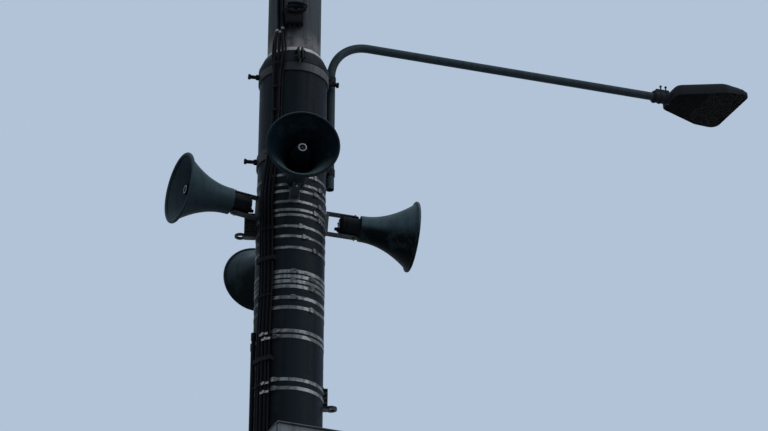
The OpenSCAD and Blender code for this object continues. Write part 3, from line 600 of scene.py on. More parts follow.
MATERIALS = {
    "base_steel": paint("base_paint", BASE_PAINT, 0.6, streaks=0.5, blotches=0.5, wear=0.9, dust=0.6),
    # Lower tube: soot and painted shade beside the riser
    "lower_paint": paint("dark_pole_paint", DARK_PAINT, 0.45, streaks=0.55, blotches=0.40, dust=0.3,
                         chalk=POLE_CHALK, blotch_scale=2.2, coat=riser_soot_and_shade),
    "upper_paint": paint("chalky_grey_paint", GREY_PAINT, 0.62, streaks=0.55, blotches=0.75, dust=0.3,
                         blotch_scale=5.0, coat=bleached_foot),
    "bright_steel": strip_steel("bright_ring_steel", RING_STEEL, 0.60, 0.35),
    "dark_steel": paint("dark_fitting_paint", DARK_STEEL, 0.5, streaks=0.3, wear=1.0, bare=BARE_STEEL),
    "galvanised": zinc("galvanised_steel"),
    "arm_paint": paint("lamp_arm_paint", ARM_PAINT, 0.45, streaks=0.3, blotches=0.4, blotch_scale=7.0),
    "lamp_paint": paint("lamp_powder_coat", LAMP_PAINT, 0.5, streaks=0.25, blotches=0.3, wear=0.4, dust=0.3,
                        gloss=0.02, chalk=LAMP_CHALK, blotch_scale=9.0),
    # Lamp's door: painted shade of the underside
    "lamp_dark": paint("lamp_door_coat", DOOR_SHADED_PAINT, 0.6, streaks=0.15, blotches=0.2, wear=0.3, gloss=0.01,
                       chalk=DOOR_CHALK, stain=DOOR_STAIN),
    "lamp_glass": clear_pane("lamp_pane"),
    "led_board": polymer("reflector_tray", TRAY_PLASTIC, 0.5, 0.15),
    # Reflector: painted shade
    "horn_inner": paint("horn_inner_enamel", REFLECTOR_SHADED, streaks=0.2, blotches=0.25, blotch_scale=9.0),
    "driver_dark": paint("driver_enamel", DRIVER_PAINT, 0.45, streaks=0.2, blotches=0.3, wear=0.6),
    "yoke_steel": paint("stirrup_paint", STIRRUP_PAINT, streaks=0.35, blotches=0.45, wear=0.9,
                        blotch_scale=12.0),
    # Bands carry painted shade beside the riser and under the front horn
    "band_steel": strip_steel("band_strip_steel", edge_dirt=0.9, shade=painted_band_shade),
    "cast_alloy": cast_metal("cast_anchor_alloy", CAST_ALLOY),
    "cable_black": polymer("cable_sheath", CABLE_SHEATH, 0.5, 0.35),
    "box_black": polymer("splice_box_plastic", BOX_PLASTIC, 0.6, 0.4, 320.0),
    "cabinet_grey": paint("cabinet_paint", CABINET_PAINT, 0.45, streaks=0.35, blotches=0.3, dust=0.3,
                          chalk=CABINET_CHALK, blotch_scale=5.0),
}
# Solids of the frame whose finish isn't their slot's, and finishes that only added pieces have
NODE_FINISHES = {horn + "_bell": bell_paint(horn) for horn in HORNS}
# Clamps' zinc, with painted shade on the riser's side and round the front
for clamp, tint in (("collar_strap", STRAP_ZINC), ("arm_clamp", CLAMP_ZINC)):
    NODE_FINISHES[clamp] = zinc(clamp + "_zinc", tint, 0.6, 0.5, 0.6, 0.3, shade=painted_clamp_shade)
LENS = lens_plastic("lamp_lens")
NOSE_STEEL = strip_steel("nose_ring_steel", NOSE_RING_STEEL, 0.36, 0.25)
SCREW_STEEL = zinc("screw_zinc", SCREW_ZINC, 0.42, 0.85, 0.15, 0.3)
TIE_BLACK = polymer("tie_nylon", TIE_NYLON, 0.45, 0.2)


def finish_frame():
    """Gives every solid of the frame its finish: its own, or else that of its material slot in the record."""
    for part in frame["record"]["subparts"]:
        node = frame["nodes"][part["node"]]
        node.data.materials.clear()
        node.data.materials.append(NODE_FINISHES.get(part["node"]) or MATERIALS[part["material_slot"]])


def add_piece(name, mesh, slot, finish=None, body=ROOT, smooth=None):
    """Links a mesh as a piece that rides on a body, with smooth shading below an angle in degrees.

    A mesh without a finish of its own gets the one that is given, or else its slot's."""
    if smooth is not None:
        mesh.shade_smooth()
        mesh.set_sharp_from_angle(angle=math.radians(smooth))
    if not mesh.materials:
        mesh.materials.append(finish or MATERIALS[slot])
    piece = bpy.data.objects.new(name, mesh)
    bpy.context.scene.collection.objects.link(piece)
    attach(piece, body)
    return piece


def geometry_tree(name, inputs, build):
    """Makes a geometry node tree with named inputs that ends in realized, finished geometry."""
    tree = bpy.data.node_groups.new(name, "GeometryNodeTree")
    tree.interface.new_socket("Geometry", in_out="INPUT", socket_type="NodeSocketGeometry")
    for label, default in inputs.items():
        kind = "NodeSocketInt" if isinstance(default, int) else "NodeSocketFloat"
        tree.interface.new_socket(label, in_out="INPUT", socket_type=kind).default_value = default
    tree.interface.new_socket("Finish", in_out="INPUT", socket_type="NodeSocketMaterial")
    tree.interface.new_socket("Geometry", in_out="OUTPUT", socket_type="NodeSocketGeometry")
    net = Net(tree)
    given = tree.nodes.new("NodeGroupInput").outputs
    shape = build(net, given)
    real = net.add("GeometryNodeRealizeInstances", {"Geometry": shape}).outputs[0]
    done = net.add("GeometryNodeSetMaterial", {"Geometry": real, "Material": given["Finish"]}).outputs[0]
    net.feed(tree.nodes.new("NodeGroupOutput").inputs[0], done)
    return tree


def grow(tree, base_mesh, finish, **inputs):
    """Runs a tree on a mesh and returns the result as a plain mesh."""
    carrier = bpy.data.objects.new("carrier", base_mesh)
    bpy.context.scene.collection.objects.link(carrier)
    modifier = carrier.modifiers.new("shape", "NODES")
    modifier.node_group = tree
    given = {name.replace("_", " "): value for name, value in inputs.items()}
    given["Finish"] = finish
    for item in tree.interface.items_tree:
        if item.item_type == "SOCKET" and item.in_out == "INPUT" and item.name in given:
            modifier[item.identifier] = given[item.name]
    depsgraph = bpy.context.evaluated_depsgraph_get()
    result = bpy.data.meshes.new_from_object(carrier.evaluated_get(depsgraph), depsgraph=depsgraph)
    bpy.data.objects.remove(carrier)
    return result


def carrier_mesh(spots, name, kind, values):
    """Mesh of points, each with a named value, that a tree sets things on."""
    mesh = bpy.data.meshes.new("places")
    mesh.from_pydata([tuple(spot) for spot in spots], [], [])
    attribute = mesh.attributes.new(name, kind, "POINT")
    for item, value in zip(attribute.data, values):
        setattr(item, "value" if kind == "FLOAT" else "vector", value)
    return mesh


def place_mesh(places):
    """Carrier's points from pairs of a point and a direction."""
    return carrier_mesh([spot for spot, _ in places], "direction", "FLOAT_VECTOR", [way for _, way in places])


def round_mesh(places):
    """Carrier's points on the pole's axis from pairs of a height and a turn in degrees."""
    return carrier_mesh([(0, 0, z) for z, _ in places], "turn", "FLOAT", [math.radians(a) for _, a in places])


def moved(net, shape, **inputs):
    return net.add("GeometryNodeTransform", {"Geometry": shape, **inputs}).outputs[0]


def softened(net, shape, faces=True):
    """Shape with smooth shading on its faces, or on a selection of them."""
    return net.add("GeometryNodeSetShadeSmooth", {"Geometry": shape, "Shade Smooth": faces}).outputs[0]


def swept(net, curve, section):
    """Section drawn along a curve, with closed ends."""
    inputs = {"Curve": curve, "Profile Curve": section, "Fill Caps": True}
    return net.add("GeometryNodeCurveToMesh", inputs).outputs[0]


def instanced(net, points, thing, **inputs):
    inputs = {"Points": points, "Instance": thing, **inputs}
    return net.add("GeometryNodeInstanceOnPoints", inputs).outputs[0]


def carried(net, name, kind):
    """Value that the carrier's points hold under a name."""
    return net.add("GeometryNodeInputNamedAttribute", {"Name": name}, data_type=kind).outputs["Attribute"]


def join(net, *shapes):
    node = net.add("GeometryNodeJoinGeometry")
    for shape in shapes:
        net.feed(node.inputs[0], shape)
    return node.outputs[0]


def set_on_places(net, given, thing):
    """Instances a thing, made along Z, on every point of the carrier, turned to its direction."""
    direction = carried(net, "direction", "FLOAT_VECTOR")
    turn = net.add("FunctionNodeAlignRotationToVector", {"Vector": direction}, axis="Z").outputs[0]
    return instanced(net, given["Geometry"], thing, Rotation=turn)


def set_round_pole(net, given, thing):
    """Instances a thing, made at direction 0 about the pole, at every point's height and turn."""
    return instanced(net, given["Geometry"], thing, Rotation=net.xyz(z=carried(net, "turn", "FLOAT")))


def rod_at(net, radius, low, length, sides):
    """Rod from a height upwards: hexagonal and flat-sided, or round and smooth."""
    solid = net.add("GeometryNodeMeshCylinder", {"Vertices": sides, "Radius": radius, "Depth": length})
    rod = moved(net, solid.outputs["Mesh"], Translation=net.xyz(z=net.plus(low, net.times(length, 0.5))))
    return rod if sides == HEX else softened(net, rod, solid.outputs["Side"])


def block_at(net, radius, size, shift=(0.0, 0.0, 0.0)):
    """Small block that stands on the pole at a radius."""
    cube = net.add("GeometryNodeMeshCube", {"Size": size}).outputs["Mesh"]
    return moved(net, cube, Translation=net.vector("ADD", net.xyz(radius), shift))


def strap_run(net, given, radius):
    """Flat strap bent round the pole's axis at a radius."""
    sides = {"Width": given["Thickness"], "Height": given["Width"]}
    section = net.add("GeometryNodeCurvePrimitiveQuadrilateral", sides).outputs[0]
    angles = {"Start Angle": given["Start"], "Sweep Angle": given["Sweep"]}
    arc = net.add("GeometryNodeCurveArc", {"Resolution": 24, "Radius": given[radius], **angles}).outputs[0]
    return swept(net, arc, section)


def build_hex_fastener(net, given):
    """Washer, hex nut and the end of a stud above them."""
    washer = rod_at(net, given["Washer radius"], 0.0, given["Washer height"], 28)
    nut = rod_at(net, given["Nut radius"], given["Washer height"], given["Nut height"], HEX)
    stud = rod_at(net, given["Stud radius"], 0.0, given["Stud length"], 20)
    return set_on_places(net, given, join(net, washer, nut, stud))


def build_clamp_bolt(net, given):
    """Hex nut on its seat, a bare shank and a hex head further out."""
    nut = rod_at(net, given["Nut radius"], 0.0, given["Nut height"], HEX)
    shank = rod_at(net, given["Shank radius"], given["Shank start"], given["Shank length"], 24)
    head = rod_at(net, given["Head radius"], given["Head start"], given["Head height"], HEX)
    return set_on_places(net, given, join(net, nut, shank, head))


def build_thread(net, given):
    """Screw thread: a wire wound on a shank."""
    helix = net.add("GeometryNodeCurveSpiral", {
        "Resolution": 20, "Rotations": net.math("DIVIDE", given["Length"], given["Pitch"]),
        "Start Radius": given["Radius"], "End Radius": given["Radius"], "Height": given["Length"]}).outputs[0]
    wire = net.add("GeometryNodeCurvePrimitiveCircle", {"Resolution": 5, "Radius": given["Wire"]}).outputs[0]
    return set_on_places(net, given, swept(net, helix, wire))


def build_weld_bead(net, given):
    """Overlapping weld ripples round a circle at the carrier's points."""
    circle = net.add("GeometryNodeCurvePrimitiveCircle", {"Resolution": 256, "Radius": given["Ring radius"]})
    spots = net.add("GeometryNodeCurveToPoints", {"Curve": circle.outputs[0], "Count": given["Ripples"]})
    ripple = net.add("GeometryNodeMeshUVSphere", {"Segments": 8, "Rings": 5, "Radius": given["Bead"]})
    uneven = net.add("FunctionNodeRandomValue", {2: 0.82, 3: 1.12, "Seed": 7}, data_type="FLOAT").outputs[1]
    ring = instanced(net, spots.outputs["Points"], ripple.outputs["Mesh"], Scale=uneven)
    return instanced(net, given["Geometry"], softened(net, ring))


def build_lens(net, given):
    """Squat domed optic on each of the carrier's points."""
    dome = net.add("GeometryNodeMeshUVSphere", {"Segments": 20, "Rings": 12, "Radius": given["Radius"]})
    squat = moved(net, dome.outputs["Mesh"], Scale=net.xyz(1.0, given["Oval"], given["Flatness"]))
    return set_on_places(net, given, softened(net, squat))


def build_cable_tie(net, given):
    """Tie round the riser's cables: an outer and an inner run of strap and a locking head."""
    outer = strap_run(net, given, "Outer radius")
    inner = strap_run(net, given, "Inner radius")
    head = block_at(net, given["Outer radius"], (0.008, 0.010, 0.013), (0.002, 0.0, 0.0))
    return set_round_pole(net, given, join(net, outer, inner, head))


def build_band_lock(net, given):
    """Lock of a steel band: its tail bent back over the strap, and two ears folded down beside it."""
    half = net.times(given["Width"], 0.5)
    ears = [block_at(net, given["Ear radius"], (0.0035, 0.016, 0.0070), net.xyz(z=net.times(half, side)))
            for side in (-1.0, 1.0)]
    return set_round_pole(net, given, join(net, strap_run(net, given, "Tail radius"), *ears))


def build_strap_clip(net, given):
    """Saddle clip with a hex screw on it."""
    screw = rod_at(net, given["Screw radius"], 0.0, given["Screw height"], HEX)
    head = moved(net, screw, Translation=net.xyz(given["Radius"]), Rotation=(0.0, math.pi / 2, 0.0))
    return set_round_pole(net, given, join(net, strap_run(net, given, "Radius"), head))


# Sides of a hexagonal rod, and the shapes that are set on a carrier's points
HEX = 6
CLAMP_BOLT = geometry_tree("clamp_bolt", {
    "Nut radius": 0.017, "Nut height": 0.016, "Shank radius": 0.0095, "Shank start": 0.0,
    "Shank length": 0.060, "Head radius": 0.0165, "Head start": 0.047,
    "Head height": 0.013}, build_clamp_bolt)
FASTENER = geometry_tree("hex_fastener", {
    "Washer radius": 0.012, "Washer height": 0.002, "Nut radius": 0.0098, "Nut height": 0.008,
    "Stud radius": 0.005, "Stud length": 0.014}, build_hex_fastener)
THREAD = geometry_tree("screw_thread", {
    "Radius": 0.008, "Pitch": 0.0025, "Length": 0.03, "Wire": 0.0009}, build_thread)
WELD = geometry_tree("weld_bead", {"Ring radius": 0.19, "Bead": 0.006, "Ripples": 180}, build_weld_bead)
LENSES = geometry_tree("domed_lens", {"Radius": 0.009, "Oval": 1.2, "Flatness": 0.6}, build_lens)
TIES = geometry_tree("cable_ties", {
    "Outer radius": 0.2165, "Inner radius": 0.1965, "Start": -0.26, "Sweep": 0.52, "Width": 0.0076,
    "Thickness": 0.0016}, build_cable_tie)
LOCKS = geometry_tree("band_locks", {
    "Tail radius": 0.1950, "Ear radius": 0.1950, "Start": -0.05, "Sweep": 0.20, "Width": 0.0185,
    "Thickness": 0.0009}, build_band_lock)
CLIPS = geometry_tree("strap_clips", {
    "Radius": 0.2170, "Start": -0.13, "Sweep": 0.26, "Width": 0.013, "Thickness": 0.0016,
    "Screw radius": 0.0085, "Screw height": 0.009}, build_strap_clip)


# Turn that stands a lathed shape on its axis, and how many sides the pole's tubes are drawn with
UPRIGHT = Matrix.Rotation(-math.pi / 2, 4, "Y")
POLE_SIDES = 128


def plain_mesh(shape):
    """Turns a bmesh into a mesh."""
    mesh = bpy.data.meshes.new("shape")
    shape.to_mesh(mesh)
    shape.free()
    return mesh


def closed_mesh(shape):
    """Turns a bmesh into a mesh with its faces outwards."""
    bmesh.ops.recalc_face_normals(shape, faces=shape.faces)
    return plain_mesh(shape)


def joined(meshes):
    """Several meshes as one."""
    shape = bmesh.new()
    for mesh in meshes:
        shape.from_mesh(mesh)
    return plain_mesh(shape)


def lathe(profile, matrix=UPRIGHT, segments=72):
    """Closed outline of (radius, height) points turned about X, where height runs along X."""
    shape = bmesh.new()
    rings = []
    for radius, height in profile:
        turns = [2 * math.pi * i / segments for i in range(segments if radius else 1)]
        rings.append([shape.verts.new(matrix @ Vector((height, radius * math.cos(a), radius * math.sin(a))))
                      for a in turns])
    for one, two in zip(rings, rings[1:] + rings[:1]):
        if len(one) == 1 and len(two) == 1:
            continue
        for i in range(segments):
            j = (i + 1) % segments
            corners = (one[i % len(one)], one[j % len(one)], two[j % len(two)], two[i % len(two)])
            shape.faces.new(list(dict.fromkeys(corners)))
    return closed_mesh(shape)


def skin(rings, closed=False):
    """Mesh over rings of points. Its ends are closed, or joined to each other."""
    shape = bmesh.new()
    rows = [[shape.verts.new(point) for point in ring] for ring in rings]
    pairs = zip(rows, rows[1:] + rows[:1]) if closed else zip(rows, rows[1:])
    for one, two in pairs:
        for k in range(len(one)):
            n = (k + 1) % len(one)
            shape.faces.new((one[k], one[n], two[n], two[k]))
    if not closed:
        shape.faces.new(rows[0][::-1])
        shape.faces.new(rows[-1])
    return closed_mesh(shape)


def swept_ring(outline, first, last, steps):
    """Outline of (radius, height) points swept about the pole's axis between two directions."""
    return skin([[polar(radius, first + (last - first) * i / steps, height) for radius, height in outline]
                 for i in range(steps + 1)])


def plate(outline, thickness, matrix, bevel):
    """Flat plate with rounded edges: an outline of (x, z) points, thickened along Y about its middle."""
    shape = bmesh.new()
    near, far = [[shape.verts.new(matrix @ Vector((x, side * thickness / 2, z))) for x, z in outline]
                 for side in (-1, 1)]
    shape.faces.new(near)
    shape.faces.new(far[::-1])
    for k in range(len(outline)):
        n = (k + 1) % len(outline)
        shape.faces.new((near[k], near[n], far[n], far[k]))
    bmesh.ops.bevel(shape, geom=list(shape.edges), offset=bevel, segments=2, affect="EDGES", profile=0.7)
    return closed_mesh(shape)


def block(low, high, matrix, bevel):
    """Block between two corners with rounded edges."""
    middle = Vector(((low[0] + high[0]) / 2, (low[1] + high[1]) / 2, 0))
    half = (high[0] - low[0]) / 2
    outline = band_outline(-half, half, low[2], high[2])
    return plate(outline, high[1] - low[1], matrix @ Matrix.Translation(middle), bevel)


def band_outline(inner, outer, low, high, edge=0.0):
    """Outline of a band as (radius, height) points, with its outer corners cut off where an edge is given."""
    if not edge:
        return [(inner, low), (outer, low), (outer, high), (inner, high)]
    return [(inner, low), (outer - edge, low), (outer, low + edge),
            (outer, high - edge), (outer - edge, high), (inner, high)]


def tube_along(points, radius, sides=12):
    """Round tube along points, with a section that turns as little as it can."""
    rings = []
    side = None
    for i, point in enumerate(points):
        ahead = (points[min(i + 1, len(points) - 1)] - points[max(i - 1, 0)]).normalized()
        side = ahead.orthogonal() if side is None else side - ahead * side.dot(ahead)
        side.normalize()
        other = ahead.cross(side)
        rings.append([point + radius * (side * math.cos(2 * math.pi * k / sides)
                                        + other * math.sin(2 * math.pi * k / sides)) for k in range(sides)])
    return skin(rings)


def make_camera():
    forward = Vector((math.sin(YAW) * math.cos(PITCH), math.cos(YAW) * math.cos(PITCH), math.sin(PITCH)))
    level = Vector((math.cos(YAW), -math.sin(YAW), 0))
    over = level.cross(forward)
    right = level * math.cos(ROLL) + over * math.sin(ROLL)
    up = over * math.cos(ROLL) - level * math.sin(ROLL)
    data = bpy.data.cameras.new("camera")
    data.sensor_width = SENSOR_MM
    data.lens = FOCAL_PIXELS / FRAME_PIXELS * SENSOR_MM
    data.clip_start, data.clip_end = 0.1, 1000
    camera = bpy.data.objects.new("camera", data)
    camera.matrix_world = Matrix.Translation(EYE) @ Matrix((right, up, -forward)).transposed().to_4x4()
    bpy.context.scene.collection.objects.link(camera)
    bpy.context.scene.camera = camera


def looked_at(net):
    """1 where the eye, a shine or glass shows a surface, and 0 where the surface lights other things."""
    path = net.add("ShaderNodeLightPath").outputs
    shone = net.math("MAXIMUM", path["Is Glossy Ray"], path["Is Transmission Ray"])
    return net.math("MAXIMUM", path["Is Camera Ray"], shone)


def make_floor():
    """Pale floor that throws little light up at the part."""
    mesh = bpy.data.meshes.new("floor")
    corners = [(-FLOOR_HALF, -FLOOR_HALF, 0), (FLOOR_HALF, -FLOOR_HALF, 0),
               (FLOOR_HALF, FLOOR_HALF, 0), (-FLOOR_HALF, FLOOR_HALF, 0)]
    mesh.from_pydata(corners, [], [(0, 1, 2, 3)])
    floor = bpy.data.objects.new("floor", mesh)
    bpy.context.scene.collection.objects.link(floor)
    material, net, shader = new_material("floor")
    net.feed(shader.inputs["Base Color"], net.mix(looked_at(net), FLOOR_BOUNCE, FLOOR_SEEN))
    shader.inputs["Roughness"].default_value = 0.9
    mesh.materials.append(material)


def make_light():
    """Even sky that is stronger overhead and on the right, and two wide soft lamps."""
    world = bpy.data.worlds.new("sky")
    world.use_nodes = True
    world.node_tree.nodes.clear()
    bpy.context.scene.world = world
    net = Net(world.node_tree)
    towards = net.axes(net.add("ShaderNodeTexCoord").outputs["Generated"])
    height = net.ramp(towards["Z"], -0.1, 0.95, SKY_LOW, SKY_TOP)
    side = net.times(net.ramp(towards["Y"], -0.8, 0.8, FRONT_SHARE, BACK_SHARE),
                     net.ramp(towards["X"], -0.8, 0.8, LEFT_SHARE, RIGHT_SHARE))
    light = net.add("ShaderNodeBackground", {"Color": DAYLIGHT, "Strength": net.times(height, side)})
    shown = net.add("ShaderNodeBackground", {"Color": SKY, "Strength": 1.0})
    inputs = {"Fac": looked_at(net), 1: light.outputs[0], 2: shown.outputs[0]}
    net.add("ShaderNodeOutputWorld", {"Surface": net.add("ShaderNodeMixShader", inputs).outputs[0]})

    for name, (power, spread, aim) in SOFT_LAMPS.items():
        lamp = bpy.data.lights.new(name, "SUN")
        lamp.energy = power
        lamp.angle = math.radians(spread)
        sun = bpy.data.objects.new(name, lamp)
        sun.rotation_mode = "QUATERNION"
        sun.rotation_quaternion = Vector(aim).to_track_quat("-Z", "Y")
        bpy.context.scene.collection.objects.link(sun)


def weld_ring(name, height, radius, bead, ripples, slot):
    """Weld round a tube at a height."""
    weld = grow(WELD, place_mesh([((0, 0, height), UP)]), MATERIALS[slot], Ring_radius=radius, Bead=bead,
                Ripples=ripples)
    add_piece(name, weld, slot)


def base_details():
    """Anchor studs with nuts on the flange, and the weld round the tube's foot."""
    circle_r, studs = 0.250, 8
    places = [(polar(circle_r, 360 * i / studs, FLANGE_TOP), UP) for i in range(studs)]
    nuts = grow(FASTENER, place_mesh(places), SCREW_STEEL, Washer_radius=0.028, Washer_height=0.005,
                Nut_radius=0.0266, Nut_height=0.024, Stud_radius=0.0150, Stud_length=0.062)
    add_piece("anchor_nuts", nuts, "galvanised")
    weld_ring("foot_weld", FLANGE_TOP, LOWER_R + 0.001, 0.0075, 190, "base_steel")


def lower_tube_skin():
    """Lower tube up to the foot of the step's cone."""
    tube = lathe(band_outline(LOWER_R - TUBE_WALL, LOWER_R, FLANGE_TOP, CONE_FOOT), segments=POLE_SIDES)
    piece = add_piece("lower_tube_skin", tube, "lower_paint", smooth=30)
    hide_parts("lower_tube")


def step_cone():
    """Swaged cone that closes the lower tube round the upper one, and the weld on its top."""
    inner, tucked, ease = LOWER_R - TUBE_WALL, CONE_FOOT - 0.060, 0.004
    outline = [(UPPER_R, tucked), (inner, tucked), (inner, CONE_FOOT), (LOWER_R, CONE_FOOT),
               (LOWER_R, CONE_TURN - ease), (LOWER_R - 0.0015, CONE_TURN + ease),
               (CONE_TOP_R + 0.002, CONE_TOP - 0.003), (CONE_TOP_R, CONE_TOP), (UPPER_R, CONE_TOP)]
    piece = add_piece("step_cone", lathe(outline, segments=POLE_SIDES), "bright_steel", smooth=20)
    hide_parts("step_ring")
    weld_ring("step_weld", CONE_TOP, UPPER_R + 0.002, 0.0045, 200, "bright_steel")


def step_clamps():
    """Split clamp round the cone, and the strap below it."""
    edge, root, strap_edge = 0.001, 0.003, 0.0018
    gap = math.degrees((LUG_APART - LUG_THICK / 2) / LOWER_R)
    cone_at_top = LOWER_R + (CONE_TOP_R - LOWER_R) * (COLLAR_TOP - CONE_TURN) / (CONE_TOP - CONE_TURN)
    section = [(LOWER_R, CONE_FOOT), (CLAMP_R - edge, CONE_FOOT), (CLAMP_R, CONE_FOOT + edge),
               (CLAMP_R, CONE_TURN), (COLLAR_TOP_R, COLLAR_TOP - edge), (COLLAR_TOP_R - edge, COLLAR_TOP),
               (cone_at_top, COLLAR_TOP), (LOWER_R, CONE_TURN)]
    shell = swept_ring(section, COLLAR_LUG + gap, COLLAR_LUG + 360 - gap, 144)
    outline = [(CLAMP_R - root, CONE_FOOT), (CLAMP_R + LUG_OUT, CONE_FOOT), (CLAMP_R + LUG_OUT, CONE_TURN),
               (COLLAR_TOP_R + LUG_OUT, COLLAR_TOP), (COLLAR_TOP_R - root, COLLAR_TOP),
               (CLAMP_R - root, CONE_TURN)]
    beside = [facing(COLLAR_LUG) @ Matrix.Translation((0, side * LUG_APART, 0)) for side in (-1, 1)]
    lugs = [plate(outline, LUG_THICK, place, 0.0015) for place in beside]
    collar = add_piece("split_collar", joined([shell] + lugs), "dark_steel", smooth=30)
    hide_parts("step_collar")
    strap = lathe(band_outline(LOWER_R, CLAMP_R, STRAP_LOW, STRAP_HIGH, strap_edge), segments=POLE_SIDES)
    ring = add_piece("step_strap", strap, "galvanised", NODE_FINISHES["collar_strap"], smooth=30)
    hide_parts("collar_strap")


def lug_bolt_places(azimuth, spots):
    """Seats of the bolts that draw two lugs together, each given as a radius and a height."""
    across = polar(1, azimuth + 90, 0)
    return [(polar(radius, azimuth, height) - across * LUG_BOLT_BACK, across) for radius, height in spots]


def clamp_hardware():
    """Bolts through the clamps' lugs, the set bolts that stand out from the clamps, and their threads."""
    bolt_r, inset = CLAMP_R + LUG_BOLT_OUT, 0.020
    upper_spot = (COLLAR_TOP_R + LUG_BOLT_OUT + 0.006, COLLAR_TOP - 0.022)
    places = lug_bolt_places(COLLAR_LUG, [(bolt_r, CONE_FOOT + inset), upper_spot])
    places += lug_bolt_places(ARM_LUG, [(bolt_r, ARM_CLAMP_LOW + inset), (bolt_r, ARM_CLAMP_HIGH - inset)])
    steel = MATERIALS["dark_steel"]
    parts = [grow(CLAMP_BOLT, place_mesh(places), steel, Nut_radius=0.011, Nut_height=0.010,
                  Shank_radius=0.006, Shank_start=-0.008, Shank_length=0.062,
                  Head_radius=0.011, Head_start=0.042, Head_height=0.010)]
    nut, head, bare = 0.016, 0.013, 0.001
    rows = ((SET_BOLTS, STRAP_HIGH - 0.013, 0.060),
            (SET_BOLTS[1:], (ARM_CLAMP_LOW + ARM_CLAMP_HIGH) / 2, 0.070))
    for angles, height, length in rows:
        seats = [(polar(CLAMP_R, angle, height), polar(1, angle, 0)) for angle in angles]
        parts.append(grow(CLAMP_BOLT, place_mesh(seats), steel, Nut_height=nut, Shank_length=length,
                          Head_start=length - head, Head_height=head))
        seats = [(polar(CLAMP_R + nut + bare, angle, height), polar(1, angle, 0)) for angle in angles]
        parts.append(grow(THREAD, place_mesh(seats), steel, Radius=0.0099, Pitch=0.0030,
                          Length=length - nut - head - 2 * bare, Wire=0.0012))
    bolts = add_piece("clamp_hardware", joined(parts), "dark_steel", smooth=40)
    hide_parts("clamp_bolts")


def along(table, height):
    """Value at a height from rows of (height, value), eased between them."""
    if height <= table[0][0]:
        return table[0][1]
    for (low_z, low), (high_z, high) in zip(table, table[1:]):
        if height <= high_z:
            t = (height - low_z) / (high_z - low_z)
            return low + (high - low) * t * t * (3 - 2 * t)
    return table[-1][1]


def riser_middle(height):
    """Direction of the riser's middle at a height, in degrees."""
    return CABLES[2][0] + along(DRIFT, height)


def cable_spot(number, height):
    """Middle of one of the riser's cables at a height."""
    azimuth, radius = CABLES[number]
    spread = along(SPREAD, height)
    wander = WANDER * math.sin(WANDER_PER_METRE * height + WANDER_PER_CABLE * number)
    turn = riser_middle(height) + (azimuth - CABLES[2][0]) * spread + wander
    low, high = CABLE_SEAT + radius, UPPER_R + radius + 0.001
    out = low + (high - low) * along(MOVED_IN, height)
    if number % 2:
        out += ODD_CABLE_OUT * (1 - spread)
    return polar(out, turn, height)


def riser_cables():
    """Cables of the riser: spread flat on the lower tube, gathered at the step and laid on the upper tube."""
    straight = [CABLE_LOW + 0.19 * i for i in range(31)]
    bent = [straight[-1] + 0.03 * i for i in range(1, 82)]
    heights = straight + bent + [CABLE_HIGH]
    runs = [tube_along([cable_spot(k, z) for z in heights], CABLES[k][1]) for k in range(len(CABLES))]
    piece = add_piece("riser_cable_run", joined(runs), "cable_black", smooth=60)
    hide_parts("cable_riser")


def cable_saddle(height):
    """Saddle over the riser's cables: a bridge, and on each side a leg and a foot."""
    low, high = height - CLEAT_HALF, height + CLEAT_HALF
    top = CABLE_SEAT + 2 * CABLES[2][1]
    middle, half = riser_middle(height), (CABLES[-1][0] - CABLES[0][0]) / 2 + 5
    parts = [swept_ring(band_outline(top, top + CLEAT_THICK, low, high, CLEAT_THICK / 4),
                        middle - half, middle + half, 24)]
    leg_angle, foot_angle = 0.3, 3.5
    for side in (-1, 1):
        leg = middle + side * (half - leg_angle)
        foot = sorted((leg, leg + side * foot_angle))
        parts.append(swept_ring(band_outline(LOWER_R, top + CLEAT_THICK / 2, low, high),
                                leg - leg_angle, leg + leg_angle, 1))
        parts.append(swept_ring(band_outline(LOWER_R, LOWER_R + CLEAT_THICK, low, high), *foot, 4))
    return parts


def conduit_ring(azimuth, radius, height):
    """Ring round a conduit, and the foot that it stands on."""
    out = LOWER_R + radius + CONDUIT_GAP
    ring = lathe(band_outline(radius, radius + CLEAT_THICK, -CLEAT_HALF, CLEAT_HALF),
                 Matrix.Translation(polar(out, azimuth, height)) @ UPRIGHT, 28)
    foot = block((LOWER_R - 0.001, -CLEAT_HALF / 2, -CLEAT_HALF),
                 (out - radius - 0.0005, CLEAT_HALF / 2, CLEAT_HALF), facing(azimuth, height), 0.001)
    return [ring, foot]


def riser_saddles():
    """Saddle cleats over the riser's cables, and a ring with a foot on each conduit."""
    parts = [part for z in RISER_CLEATS for part in cable_saddle(z)]
    parts += [part for conduit in CONDUITS for z in RISER_CLEATS[2:] for part in conduit_ring(*conduit, z)]
    piece = add_piece("riser_saddles", joined(parts), "dark_steel", smooth=40)
    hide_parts("riser_cleats")


def riser_details():
    """Ties and clips round the riser's cables, and crimped sleeves above the step."""
    flat, gathered = [round_mesh([(z, riser_middle(z)) for z in rows]) for rows in (FLAT_TIES, GATHERED_TIES)]
    ties = [grow(TIES, flat, TIE_BLACK),
            grow(TIES, gathered, TIE_BLACK, Outer_radius=0.2290, Start=-0.16, Sweep=0.32)]
    add_piece("riser_ties", joined(ties), "cable_black", TIE_BLACK, smooth=40)
    add_piece("riser_clips", grow(CLIPS, round_mesh(RISER_CLIPS), SCREW_STEEL), "galvanised")

    sleeves = []
    half, ridge = 0.0075, 0.0008
    for number, height in SLEEVES:
        bore, grip = CABLES[number][1] - 0.001, CABLES[number][1] + 0.0014
        low, high = cable_spot(number, height - 0.01), cable_spot(number, height + 0.01)
        outline = [(bore, -half), (grip, -half), (grip + ridge, -half * 0.6), (grip, -half * 0.2),
                   (grip + ridge, half * 0.2), (grip, half), (bore, half)]
        sleeves.append(lathe(outline, Matrix.Translation((low + high) / 2) @ pointing(high - low), 20))
    add_piece("riser_sleeves", joined(sleeves), "galvanised", SCREW_STEEL, smooth=40)


